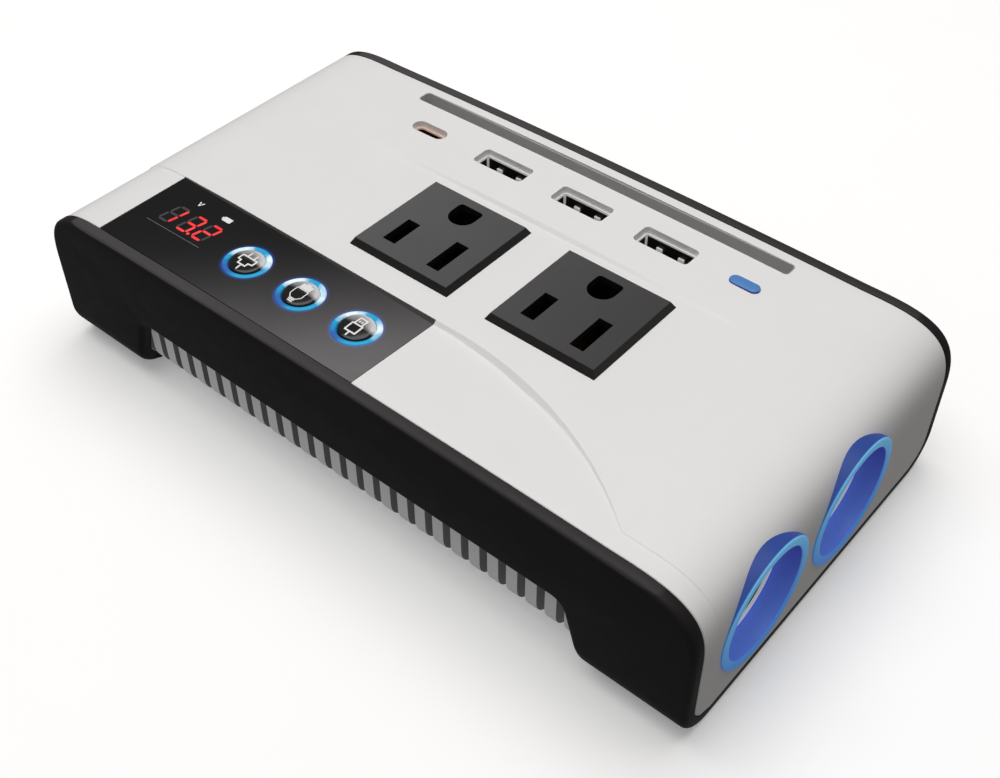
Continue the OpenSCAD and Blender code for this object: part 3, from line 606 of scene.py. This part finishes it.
# Port shells: painted shade darkens them inside, and a painted glow lights the mouth.
STEEL = port_look("port_metal", rgb(235, 235, 234), "left_usb_a_shell", USB_A_BACK_Y)
COPPERY = port_look("port_copper", rgb(240, 208, 192), "usb_c_shell", USB_C_NO_TAB_Y)
COLLAR = collar_look()
# Painted light: the panel's upturned back edge is the same gloss black, painted mid grey where it catches
# the light.
RISER_PAINTED_LIGHT = moulded("panel_edge_painted_light", rgb(78, 76, 77), 0.3, 0.02, 0.04, 1200, 0.2)
PANEL = panel_look()


# ---- white cover ----

STEP_U = (-2.4, -1.9, -1.6, -1.35, -1.15, -0.95, -0.75, -0.55, -0.4, -0.25, -0.12, 0, 0.12, 0.3, 0.6)
EDGE_R = 0.35


def outline_rows():
    """(x, z, normal x, normal z) along the cover, from its left foot over the crown to its right foot."""
    half = [(SHOULDER_X * i / 48, crown_z(SHOULDER_X * i / 48)) for i in range(48)]
    top = crown_z(SHOULDER_X)
    for i in range(37):
        t = math.pi / 2 * i / 36
        half.append((SHOULDER_X + SHOULDER_L * math.sin(t) ** (2 / SHOULDER_N),
                     SHOULDER_Z + (top - SHOULDER_Z) * math.cos(t) ** (2 / SHOULDER_N)))
    low = COVER_FOOT_Z
    half += [(END_X, SHOULDER_Z + (low - SHOULDER_Z) * i / 14) for i in range(1, 15)]
    points = [(-x, z) for x, z in half[:0:-1]] + half
    rows = []
    for i, (x, z) in enumerate(points):
        a, b = points[max(i - 1, 0)], points[min(i + 1, len(points) - 1)]
        t = Vector((b[0] - a[0], b[1] - a[1])).normalized()
        rows.append((x, z, -t.y, t.x))
    return rows


def column_ys(x):
    """Y of each column of the cover's grid at x, closely spaced across the two steps."""
    edge, turn = deck_front(x)
    steps = [edge + u / math.cos(turn) for u in STEP_U]
    front = [-SIDE_Y + EDGE_R * (1 - math.cos(math.radians(a))) for a in (0, 30, 60, 90)]
    lead = [front[-1] + (steps[0] - front[-1]) * i / 9 for i in range(1, 9)]
    strip = [STRIP_Y + v for v in (-1.3, -1, -RISER, -0.7, -0.5, -0.3, -0.12, 0, 0.15, 0.4)]
    deck = [steps[-1] + (strip[0] - steps[-1]) * i / 13 for i in range(1, 13)]
    back = [SIDE_Y - EDGE_R * (1 - math.cos(math.radians(a))) for a in (90, 60, 30, 0)]
    tail = [strip[-1] + (back[0] - strip[-1]) * i / 11 for i in range(1, 11)]
    return front + lead + steps + deck + strip + tail + back


def drop(x, y):
    """How far the cover lies below its crown at (x, y)."""
    edge, turn = deck_front(x)
    deck, band = deck_z(x), band_z(x, y)
    u = (y - edge) * math.cos(turn)
    height = max(deck - band, 0.001)
    front = min(max((u + height) / height, 0), 1)
    if x < PANEL_X[0]:
        front = min(max((y - edge) / 3 + 1, 0), 1)
    back = min(max((y - STRIP_Y + RISER) / RISER, 0), 1)
    z = band + (deck - band) * front + (crown_z(x) - deck) * back
    return crown_z(x) - z


def rim_round(y):
    """Drop over the small round edge along each side of the cover."""
    inside = SIDE_Y - abs(y)
    if inside >= EDGE_R:
        return 0
    return EDGE_R - math.sqrt(EDGE_R ** 2 - (EDGE_R - inside) ** 2)


def half_width(z):
    """Half width of the cover's end face at height z, with its round lower corners."""
    up = z - COVER_FOOT_Z
    if up >= COVER_EDGE_R:
        return SIDE_Y
    return SIDE_Y - COVER_EDGE_R + math.sqrt(COVER_EDGE_R ** 2 - (COVER_EDGE_R - up) ** 2)


def cover_blank():
    rows = outline_rows()
    outer, inner = [], []
    for x, z, nx, nz in rows:
        flat_x = max(-SHOULDER_X, min(SHOULDER_X, x))
        squeeze = half_width(z) / SIDE_Y if abs(x) > END_X - 1e-6 else 1
        for y in column_ys(flat_x):
            down = drop(flat_x, y) * max(nz, 0) + rim_round(y)
            outer.append((x - nx * down, y * squeeze, z - nz * down))
            inner.append((x - nx * WALL, y * squeeze, z - nz * WALL))
    n = len(column_ys(0))
    m = len(rows)
    base = len(outer)
    faces = []
    for i in range(m - 1):
        for j in range(n - 1):
            a = i * n + j
            faces.append([a, a + n, a + n + 1, a + 1])
            faces.append([base + a, base + a + 1, base + a + n + 1, base + a + n])
        for j, flip in ((0, False), (n - 1, True)):
            a = i * n + j
            face = [a, base + a, base + a + n, a + n]
            faces.append(face[::-1] if flip else face)
    for i, flip in ((0, True), (m - 1, False)):
        for j in range(n - 1):
            a = i * n + j
            face = [a, base + a, base + a + 1, a + 1]
            faces.append(face[::-1] if flip else face)
    return outer + inner, faces


LIP = 0.16      # radius of the rounded edge round each opening in the cover
GROOVE = dict(name="groove", at=(0, 38.2), size=(100.4, 3.4), r=0.9, deep=6.5)
LENS_SIZE = (6.9, 2.75)
PORTS = [dict(name=name + "_usb_a", at=middle(name + "_usb_a_shell").xy, size=(13.5, 5.5), r=1.0, deep=1.9)
         for name in USB_A]
PORTS.append(dict(name="usb_c", at=middle("usb_c_shell").xy, size=(9.4, 3.7), r=1.84, deep=1.9))


def grown(size, by):
    return size[0] + 2 * by, size[1] + 2 * by


def cover_tool():
    """Every opening in the cover, as one cutting solid."""
    parts = [prism([(PANEL_X[0], -SIDE_Y - 2), (PANEL_X[1], -SIDE_Y - 2), (PANEL_X[1], PANEL_BACK_Y),
                    (PANEL_X[0], PANEL_BACK_Y)], 30, 50, upright)]
    for name in ("left_outlet", "right_outlet"):
        c = middle(name)
        parts.append(prism(slot_outline(25, 25, 0.5), 30, 50, shifted(upright, (c.x, c.y, 0))))
    for opening in PORTS + [GROOVE]:
        w, h = grown(opening["size"], LIP)
        outline = slot_outline(w, h, opening["r"] + LIP)
        x, y = opening["at"]
        parts.append(prism(outline, 30, 50, shifted(upright, (x, y, 0))))
    lens = middle("indicator_lens")
    w, h = grown(LENS_SIZE, 0.06)
    parts.append(prism(slot_outline(w, h, h / 2 - 0.01), 30, 50, shifted(upright, (lens.x, lens.y, 0))))
    for name in ("front", "back"):
        c = middle(name + "_socket_collar")
        parts.append(prism(circle(COLLAR_R + 0.05), 71, 90, shifted(lengthways, (0, c.y, c.z))))
    gland = middle("lead_gland")
    parts.append(prism(circle(GLAND_HOLE_R), -90, -71, shifted(lengthways, (0, gland.y, gland.z))))
    fan = middle("fan_frame")
    for i in range(-3, 4):
        y = i * VENT_PITCH
        slot = slot_outline(1.8, 2 * math.sqrt(VENT_R ** 2 - y * y), 0.7)
        parts.append(prism(slot, -90, -71, shifted(lengthways, (0, fan.y + y, fan.z))))
    return joined("cover_tool", parts)


def make_cover():
    verts, faces = cover_blank()
    cover = piece("cover", verts, faces, None)
    carve(cover, cover_tool())
    cover.data.materials.clear()
    cover.data.materials.append(WHITE)
    shade(cover, 32)
    finished(cover, "housing", "cover_white", *COVER_NODES)


def surface_z(x, y):
    return crown_z(x) - drop(x, y)


def make_lips():
    """Round-edged linings of the openings in the cover."""
    for opening in PORTS + [GROOVE]:
        cx, cy = opening["at"]
        w, h = opening["size"]
        r = opening["r"]
        loops = []
        profile = [(LIP + 0.12, -0.06), (LIP + 0.1, 0.008), (LIP, 0.008)]
        profile += [(LIP - LIP * math.sin(math.radians(a)), 0.008 - LIP + LIP * math.cos(math.radians(a)))
                    for a in (15, 30, 45, 60, 75, 90)]
        profile.append((0, -opening["deep"]))
        for out, up in profile:
            outline = slot_outline(w + 2 * out, h + 2 * out, r + out, 8)
            loops.append([(cx + u, cy + v, surface_z(cx + u, cy + v) + up) for u, v in outline])
        if opening["name"] == "groove":
            floor_z = crown_z(cx) - opening["deep"]
            loops.append([(cx + u * 0.98, cy + v * 0.5, floor_z) for u, v in slot_outline(w, h, r, 8)])
            verts, faces = rings(loops, caps=False)
            faces.append(list(range(len(verts) - len(loops[0]), len(verts))))
        else:
            outline = slot_outline(w - 0.36, h - 0.36, r - 0.1, 8)
            loops.append([(cx + u, cy + v, surface_z(cx, cy) - opening["deep"]) for u, v in outline])
            verts, faces = rings(loops, caps=False)
        material = RECESS_PAINTED_SHADE if opening["name"] == "groove" else LIP_WHITE
        finished(piece(opening["name"] + "_lip", verts, faces, material, 50), "housing", "cover_white")


# ---- black shell ----

def shell_outline():
    """The shell from the front: crown, shoulders, upright ends and feet, with the arch between them."""
    top = [(x, z) for x, z, nx, nz in outline_rows() if z > SHOULDER_Z + 0.01 or abs(x) < SHOULDER_X]
    bottom_x = ARCH_TOP_X + (ARCH_TOP_Z - SHELL_LOW.z) * ARCH_LEAN
    low = SHELL_LOW.z
    arch = rounded([(-END_X, low, 0), (-bottom_x, low, 2.5), (-ARCH_TOP_X, ARCH_TOP_Z, 3),
                    (ARCH_TOP_X, ARCH_TOP_Z, 3), (bottom_x, low, 2.5), (END_X, low, 0)], 8)
    return top[::-1] + arch


def trough(w, z, r, top):
    return rounded([(-w / 2, z, r), (w / 2, z, r), (w / 2, top, 0), (-w / 2, top, 0)], 12)


def bevel_edges(obj, wanted, width, segments):
    bm = bmesh.new()
    bm.from_mesh(obj.data)
    bmesh.ops.remove_doubles(bm, verts=bm.verts, dist=1e-6)
    bmesh.ops.dissolve_limit(bm, angle_limit=math.radians(0.3), verts=bm.verts, edges=bm.edges)
    sharp = [e for e in bm.edges
             if len(e.link_faces) == 2 and e.calc_face_angle(0) > math.radians(35) and wanted(e)]
    bmesh.ops.bevel(bm, geom=sharp, offset=width * MM, segments=segments, profile=0.5, affect="EDGES",
                    clamp_overlap=False)
    bm.to_mesh(obj.data)
    bm.free()


def make_shell():
    shell = joined("shell", [prism(shell_outline(), -SHELL_Y, SHELL_Y, across)])
    section = trough(2 * SHELL_Y, SHELL_LOW.z, SHELL_EDGE_R, 60)
    carve(shell, joined("shell_section", [prism(section, -100, 100, lengthways)]), "INTERSECT")
    hollow = trough(2 * (SHELL_Y - SHELL_T), SHELL_LOW.z + SHELL_T, SHELL_EDGE_R - SHELL_T, 60)
    carve(shell, joined("shell_hollow", [prism(hollow, -100, 100, lengthways)]))
    recesses = [prism(circle(r, steps), -5, top, shifted(upright, (sx * x, sy * y, 0)))
                for r, steps, top, (x, y) in ((5.1, 48, 1.2, PAD_AT), (3, 36, 2.3, SCREW_AT))
                for sx in (-1, 1) for sy in (-1, 1)]
    inner_y = (SHELL_Y - SHELL_T + 0.05) * MM

    def outside(edge):
        return all(abs(v.co.y) > inner_y or v.co.z < (SHELL_LOW.z + SHELL_T - 0.1) * MM for v in edge.verts)

    bevel_edges(shell, outside, 1.3, 5)
    bevel_edges(shell, lambda e: all(v.co.z > 20 * MM for v in e.verts), 0.15, 2)
    carve(shell, joined("pad_recesses", recesses))
    shell.data.materials.clear()
    shell.data.materials.append(BLACK)
    shade(shell, 30)
    finished(shell, "housing", "shell_black", "base_shell")


# ---- control panel ----

def draped(name, outlines, material, slot, high=0.04, low=-0.3, body="housing"):
    """Flat shapes laid on the panel's sloping face."""
    parts = []
    for outline in outlines:
        n = len(outline)
        verts = [(x, y, band_z(x, y) + h) for h in (low, high) for x, y in outline]
        faces = [[i, (i + 1) % n, n + (i + 1) % n, n + i] for i in range(n)]
        parts.append((verts, faces + [list(range(n))[::-1], list(range(n, 2 * n))]))
    return finished(joined(name, parts, material), body, slot)


def panel_columns(x):
    rise = deck_z(x) - band_z(x, PANEL_BACK_Y - 0.12)
    foot = PANEL_BACK_Y - 0.12 - max(rise, 0.02) * 0.9
    flat = [(-SIDE_Y + 0.1 + (foot + SIDE_Y - 0.1) * i / 8, 0) for i in range(9)]
    return flat + [(PANEL_BACK_Y - 0.12 - 0.05, rise - 0.03), (PANEL_BACK_Y - 0.12, rise - 0.08)]


def make_panel():
    """Gloss plate that follows the front band and turns up at the back to the deck."""
    thick = 1.4
    verts, rows = [], []
    xs = [PANEL_X[0] + 0.12 + (PANEL_X[1] - PANEL_X[0] - 0.24) * i / 40 for i in range(41)]
    for x in xs:
        row = []
        for y, up in panel_columns(x):
            row.append(len(verts))
            verts.append((x, y, band_z(x, min(y, PANEL_BACK_Y)) + up))
        rows.append(row)
    base = len(verts)
    verts += [(x, y, band_z(x, y) - thick) for x in xs for y, up in panel_columns(x)]
    n = len(rows[0])
    faces = []
    for i in range(len(xs) - 1):
        for j in range(n - 1):
            a = i * n + j
            faces += [[a, a + n, a + n + 1, a + 1], [base + a, base + a + 1, base + a + n + 1, base + a + n]]
        for j in (0, n - 1):
            a = i * n + j
            faces.append([a, base + a, base + a + n, a + n])
    for i in (0, len(xs) - 1):
        for j in range(n - 1):
            a = i * n + j
            faces.append([a, base + a, base + a + 1, a + 1])
    plate = piece("panel", verts, faces, None)
    holes = []
    for name in BUTTONS:
        c = middle(name + "_light_ring")
        holes.append(prism(circle(RING_OUTER + 0.05), 30, 45, shifted(upright, (c.x, c.y, 0))))
    carve(plate, joined("panel_holes", holes))
    plate.data.materials.clear()
    for material in (PANEL, RISER_PAINTED_LIGHT):
        plate.data.materials.append(material)
    # Faces of the upturned back edge take the painted-light grey.
    for face in plate.data.polygons:
        if face.normal.y < -0.35 and face.center.y > (PANEL_BACK_Y - 4) * MM:
            face.material_index = 1
    shade(plate, 25)
    finished(plate, "housing", "panel_gloss", "control_panel")


def stroke(points, width, closed=False, longest=0.7):
    """Outlines of short round-ended bars along a line of points, which can lie on a curved face."""
    out = []
    pairs = list(zip(points, points[1:] + points[:1])) if closed else list(zip(points, points[1:]))
    for a, b in pairs:
        a, b = Vector(a), Vector(b)
        turn = math.atan2((b - a).y, (b - a).x)
        bars = max(1, round((b - a).length / longest))
        for i in range(bars):
            outline = []
            for p, start in ((a.lerp(b, (i + 1) / bars), -math.pi / 2), (a.lerp(b, i / bars), math.pi / 2)):
                for k in range(7):
                    t = turn + start + math.pi * k / 6
                    outline.append((p.x + width / 2 * math.cos(t), p.y + width / 2 * math.sin(t)))
            out.append(outline)
    return out


def shifted_outline(outline, x, y):
    return [(x + u, y + v) for u, v in outline]


DIGIT_W = 2.85
DIGIT_H = 5.45
DIGIT_Y = -32.1
DIGIT_X = (-62.35, -56.75, -51.95)
DIGIT_LEAN = 0.18
SEGMENT_W = 0.64
LIT_SEGMENTS = ("BC", "ABCDG", "ABDEG")


def segment_outline(a, b):
    """A bar with pointed ends from a to b."""
    a, b = Vector(a), Vector(b)
    along = (b - a).normalized()
    side = Vector((-along.y, along.x)) * SEGMENT_W / 2
    a, b = a + along * 0.12, b - along * 0.12
    tip = along * SEGMENT_W / 2
    return [a, a + tip + side, b - tip + side, b, b - tip - side, a + tip - side]


def make_display():
    corner = {"A": ((0, 1), (1, 1)), "B": ((1, 1), (1, 0.5)), "C": ((1, 0.5), (1, 0)), "D": ((0, 0), (1, 0)),
              "E": ((0, 0), (0, 0.5)), "F": ((0, 0.5), (0, 1)), "G": ((0, 0.5), (1, 0.5))}
    on, off = [], []
    for x0, lit_ones in zip(DIGIT_X, LIT_SEGMENTS):
        for name, ends in corner.items():
            ends = [(x0 + u * DIGIT_W + v * DIGIT_H * DIGIT_LEAN, DIGIT_Y + v * DIGIT_H) for u, v in ends]
            (on if name in lit_ones else off).append([tuple(p) for p in segment_outline(*ends)])
    point = (DIGIT_X[1] + DIGIT_W + 0.95, DIGIT_Y + 0.05)
    on.append([(point[0] + u, point[1] + v) for u, v in circle(0.38, 16)])
    draped("display_lit", on, LIT_RED, "display_black")
    draped("display_unlit", off, GHOST, "display_black", 0.03)
    v_mark = stroke([(-59.15, -22.95), (-58.7, -24.1), (-58.15, -22.95)], 0.3)
    draped("volt_mark", v_mark, MARK, "panel_gloss")
    battery = [shifted_outline(slot_outline(2.35, 1.4, 0.2, 3), -50.05, -23.6),
               shifted_outline(slot_outline(0.6, 0.75, 0.15, 3), -51.3, -23.6)]
    draped("battery_mark", battery, MARK, "panel_gloss")
    draped("display_rule", stroke([(-63.9, -33.9), (-47.6, -33.8)], 0.13), RULE, "panel_gloss")


# ---- buttons ----

CAP_DOME_R = 26


def cap_look(name, centre):
    """Gloss black with a painted highlight: a light segment that brightens towards its back right edge."""
    look = Look(name + "_cap")
    x = look.axis("X", centre.x)
    y = look.axis("Y", centre.y)
    reach = look.maths("POWER", look.square_sum(x, y), 0.5)
    segment = look.spread(y, 0, 1, 0.0001, 0.0012)
    painted_light = look.maths("POWER", look.spread(reach, 0, 1, 0, CAP_R * MM), 1.6)
    towards = look.spread(look.maths("ADD", x, y), 0.3, 1, -0.002, 0.004)
    # Painted highlight: a light segment on the back side, growing towards the back right rim.
    painted_sheen = look.maths("ADD", look.maths("MULTIPLY", segment, 0.1), look.product(segment, towards, painted_light))
    look.colour(look.mix(painted_sheen, rgb(24, 24, 24), rgb(235, 234, 233)))
    look.rough(look.spread(look.noise(400, 3), 0.16, 0.22))
    look.bump(look.noise(1200, 2), 0.02)
    look.set(Coat_Weight=0.3, Coat_Roughness=0.05, Specular_IOR_Level=0.3)
    return look.material


RING_SPOTS = (2.62, 0.68)      # directions of the ring's two white highlights, in radians from X
RING_SHADE = -2.05             # direction of its deepest blue


def ring_look(name, centre):
    """Lit ring whose colour runs from deep blue through cyan to white at its left and its back right: the
    white is painted highlights, the deepest blue painted shade.
    """
    look = Look(name + "_ring")
    x = look.axis("X", centre.x)
    y = look.axis("Y", centre.y)
    angle = look.maths("ARCTAN2", y, x)
    waves = [look.maths("COSINE", look.maths("SUBTRACT", angle, at)) for at in RING_SPOTS]
    patch = look.spread(look.noise(420, 2), -0.1, 0.1, 0.3, 0.7)
    level = look.maths("ADD", look.maths("MAXIMUM", *waves), patch)
    bright = look.spread(level, 0, 1, 0.72, 1.0)
    shade_wave = look.maths("COSINE", look.maths("SUBTRACT", angle, RING_SHADE))
    deep = look.spread(look.maths("ADD", shade_wave, patch), 0, 1, 0.72, 1.0)
    tone = look.mix(deep, rgb(34, 158, 204), rgb(50, 102, 172))
    tone = look.mix(bright, tone, rgb(228, 244, 250))
    look.colour(tone)
    look.link(tone, look.shader.inputs["Emission Color"])
    look.set(Emission_Strength=0.28, Roughness=0.25, Specular_IOR_Level=0.2)
    return look.material


PLUG_LINE = 0.36
CAR_LINE = 0.22
PLUG_ICON = (
    stroke([(-1.9, 0.9), (2.1, 0.9), (2.1, -0.5), (1.1, -0.7),
            (1.1, -1.6), (-1.0, -1.6), (-1.0, -0.6), (-1.9, -0.5)], PLUG_LINE, True)
    + stroke([(-0.65, 0.9), (-0.65, 2.2)], PLUG_LINE) + stroke([(1.05, 0.9), (1.05, 2.2)], PLUG_LINE)
    + stroke([(0.1, -1.6), (0.1, -3.0)], PLUG_LINE))
CAR_ICON = (
    stroke([(-1.5, 0.8), (1.5, 0.8), (1.5, -1.3), (0.7, -2.2), (-0.7, -2.2), (-1.5, -1.3)], CAR_LINE, True)
    + stroke([(-0.65, -2.55), (0.65, -2.55)], 0.3) + stroke([(-0.5, -3.0), (0.5, -3.0)], 0.34))
CAR_BLOCK = (
    [shifted_outline([(-0.2, 0), (0.21, 0), (0.21, 0.51), (-0.2, 0.51)], x * 0.4, y * 0.5)
     for x in range(-3, 4) for y in range(2, 5)]
    + [shifted_outline([(-0.2, 0), (0.21, 0), (0.21, 0.4), (-0.2, 0.4)], x * 0.4, 2.5) for x in (-1, 0, 1)])
PORT_ICON = (
    stroke([(-1.3, 0.4), (1.3, 0.4), (1.3, -1.9), (-1.3, -1.9)], PLUG_LINE, True)
    + stroke([(-0.9, 0.4), (-0.9, 2.3), (0.9, 2.3), (0.9, 0.4)], PLUG_LINE)
    + stroke([(-0.3, 1.2), (-0.3, 1.5)], PLUG_LINE) + stroke([(0.3, 1.2), (0.3, 1.5)], PLUG_LINE)
    + stroke([(0, -1.9), (0, -3.0)], PLUG_LINE))


def make_button(name, icon, block):
    low, high = corners(name + "_button")
    c = middle(name + "_button")
    top = high.z

    def dome(u, v):
        return top - (u * u + v * v) / (2 * CAP_DOME_R)

    put = shifted(upright, (c.x, c.y, 0))
    edge = top - CAP_R ** 2 / (2 * CAP_DOME_R)
    crown = [(r, dome(r, 0)) for r in (0.01, 0.6, 1.2, 1.8, 2.4, 3, CAP_R - 0.3)]
    skirt = [(CAP_R - 0.08, edge - 0.12), (CAP_R, edge - 0.35), (CAP_R, low.z + 3), (CAP_FLANGE, low.z + 3)]
    stem = [(CAP_FLANGE, low.z + 2.4), (2, low.z + 2.4), (2, low.z), (0.01, low.z)]
    profile = crown + skirt + stem
    verts, faces = lathe(profile, put, 72, closed=False)
    cap = piece(name + "_cap", verts, faces, cap_look(name, c), 40)
    finished(cap, name + "_button", "button_black", name + "_button")
    marks = (("_icon", icon, MARK, 0.05), ("_icon_block", block, SOFT_MARK, 0.03))
    for suffix, outlines, material, up in marks:
        parts = []
        for outline in outlines:
            n = len(outline)
            points = [(c.x + u, c.y + v, dome(u, v) + h) for h in (-0.2, up) for u, v in outline]
            sides = [[i, (i + 1) % n, n + (i + 1) % n, n + i] for i in range(n)]
            parts.append((points, sides + [list(range(n))[::-1], list(range(n, 2 * n))]))
        if parts:
            finished(joined(name + suffix, parts, material), name + "_button", "button_black")


def make_ring(name):
    node = name + "_light_ring"
    low, high = corners(node)
    c = middle(node)
    outer, inner = RING_OUTER, RING_INNER

    def put(u, v, w):
        lean = band_slope(c.x) * v if w > high.z - 1 else 0
        return (c.x + u, c.y + v, w - lean)

    top = high.z - 0.05
    centre, half = (outer + inner) / 2, (outer - inner) / 2
    arc = [(centre + half * math.cos(math.radians(a)), top - 0.28 + 0.28 * math.sin(math.radians(a)))
           for a in range(0, 181, 20)]
    profile = arc + [(inner, low.z), (RING_FLANGE, low.z), (RING_FLANGE, low.z + 0.8), (outer, low.z + 0.8)]
    verts, faces = lathe(profile, put, 96)
    finished(piece(name + "_ring", verts, faces, ring_look(name, c), 50), "housing", "ring_blue", node)


# ---- outlets, indicator and car sockets ----

def softened(node, width=0.25, segments=3, angle=40):
    """A CAD node as it is, with its sharp edges rounded off."""
    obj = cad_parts[node]
    weld = obj.modifiers.new("weld", "WELD")
    weld.merge_threshold = 1e-6
    bevel = obj.modifiers.new("edges", "BEVEL")
    bevel.width = width * MM
    bevel.segments = segments
    bevel.limit_method = "ANGLE"
    bevel.angle_limit = math.radians(angle)
    bevel.harden_normals = True
    return obj


def paint(node, material):
    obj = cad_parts[node]
    if not obj.data.materials:
        obj.data.materials.append(material)
    for s in obj.material_slots:
        s.link = "OBJECT"
        s.material = material
    return obj


def make_indicator():
    low, high = corners("indicator_lens")
    c = middle("indicator_lens")
    w, h = LENS_SIZE
    loops = []
    top = high.z
    for inset, up in ((0, low.z), (0, top - 0.12), (0.04, top - 0.04), (0.12, top), (1.0, top + 0.02)):
        outline = slot_outline(w - 2 * inset, h - 2 * inset, h / 2 - inset)
        loops.append([(c.x + u, c.y + v, up) for u, v in outline])
    finished(piece("indicator", *rings(loops), INDICATOR, 50), "housing", "indicator_blue", "indicator_lens")


def make_collar(name):
    node = name + "_socket_collar"
    low, high = corners(node)
    c = middle(node)
    face = high.x
    r = COLLAR_EDGE
    flank = [(COLLAR_R, low.x), (COLLAR_R, face - r), (COLLAR_R - 0.1, face - 0.1), (COLLAR_R - r, face)]
    mouth = [(MOUTH_R + r, face), (MOUTH_R + 0.1, face - 0.1), (MOUTH_R, face - r)]
    seat = BARREL_X + 0.05
    profile = flank + mouth + [(MOUTH_R, seat), (BORE_R, seat), (BORE_R, low.x)]
    put = shifted(lengthways, (0, c.y, c.z))
    finished(piece(name + "_collar", *lathe(profile, put, 120), COLLAR, 50), "housing", "collar_blue", node)


# ---- floor, light and camera ----

FLOOR_REACH = 6         # metres from the object to the floor's edge


def make_stage():
    floor_look = moulded("floor", rgb(250, 250, 250), 0.9, 0.02, 0.004, 60, 0.1)
    shader = floor_look.node_tree.nodes["Principled BSDF"]
    shader.inputs["Emission Color"].default_value = (1, 1, 1, 1)
    shader.inputs["Emission Strength"].default_value = 0.24
    mesh = bpy.data.meshes.new("floor")
    square = [(u * FLOOR_REACH, v * FLOOR_REACH, 0) for u, v in ((-1, -1), (1, -1), (1, 1), (-1, 1))]
    mesh.from_pydata(square, [], [[0, 1, 2, 3]])
    mesh.materials.append(floor_look)
    floor = bpy.data.objects.new("floor", mesh)
    bpy.context.scene.collection.objects.link(floor)
    floor.visible_diffuse = False
    floor.visible_glossy = False


def area(name, at, towards, size, power, colour=(1, 1, 1)):
    light = bpy.data.lights.new(name, "AREA")
    light.shape = "RECTANGLE"
    light.size, light.size_y = size
    light.energy = power
    light.color = colour
    obj = bpy.data.objects.new(name, light)
    obj.location = at
    obj.rotation_euler = (Vector(towards) - Vector(at)).to_track_quat("-Z", "Y").to_euler()
    bpy.context.scene.collection.objects.link(obj)


def make_light():
    world = bpy.data.worlds.new("studio")
    world.use_nodes = True
    world.node_tree.nodes["Background"].inputs["Color"].default_value = (1.0, 0.99, 0.98, 1)
    world.node_tree.nodes["Background"].inputs["Strength"].default_value = 0.17
    scene = bpy.context.scene
    scene.world = world
    scene.view_settings.view_transform = "Standard"
    area("overhead", (-0.1, 0.05, 0.9), (0, 0, 0), (1.0, 0.9), 7.2, (1.0, 0.985, 0.975))


CAMERA_AT = (0.14047, -0.16114, 0.21235)
CAMERA_TURN = (90 - 44.73, 0.009, 39.98)
CAMERA_LENS = 48.58


def make_camera():
    data = bpy.data.cameras.new("camera")
    data.sensor_width = 36
    data.lens = CAMERA_LENS
    data.clip_start = 0.01
    camera = bpy.data.objects.new("camera", data)
    camera.location = CAMERA_AT
    camera.rotation_euler = [math.radians(a) for a in CAMERA_TURN]
    bpy.context.scene.collection.objects.link(camera)
    bpy.context.scene.camera = camera


make_camera()
make_stage()
make_light()
make_cover()
make_lips()
make_shell()
make_panel()
make_display()
for button, icon, block in zip(BUTTONS, (PLUG_ICON, CAR_ICON, PORT_ICON), ([], CAR_BLOCK, [])):
    make_button(button, icon, block)
    make_ring(button)
make_indicator()
for end in ("front", "back"):
    make_collar(end)

PAINTS = {
    SINK: ["heat_sink"], RUBBER: ["rubber_pads"], SCREW: ["case_screws", "board_screws"],
    GREY: ["left_outlet", "right_outlet"],
    BRASS: ["left_outlet_contacts", "right_outlet_contacts", "front_socket_contact", "back_socket_contact",
            "board_standoffs"],
    STEEL: ["left_usb_a_shell", "middle_usb_a_shell", "right_usb_a_shell"],
    BARREL: ["front_socket_barrel", "back_socket_barrel"],
    COPPERY: ["usb_c_shell"],
    TRIM: ["left_usb_a_tongue", "middle_usb_a_tongue", "right_usb_a_tongue", "usb_c_tongue",
           "display_module", "front_socket_insulator", "back_socket_insulator", "socket_bracket",
           "lead_gland", "fan_frame", "fan_rotor", "transformer_core", "power_transistors", "fuse_holder"],
    BOARD: ["display_board", "button_switches", "usb_board", "main_board"],
    WINDING: ["transformer_winding", "output_choke"], CAPACITOR: ["input_capacitors"],
    FUSE: ["blade_fuse"], INDICATOR: ["indicator_led"],
}
for material, names in PAINTS.items():
    for name in names:
        paint(name, material)
for name, width in (("left_outlet", 0.22), ("right_outlet", 0.22), ("heat_sink", 0.3), ("lead_gland", 0.3)):
    softened(name, width)
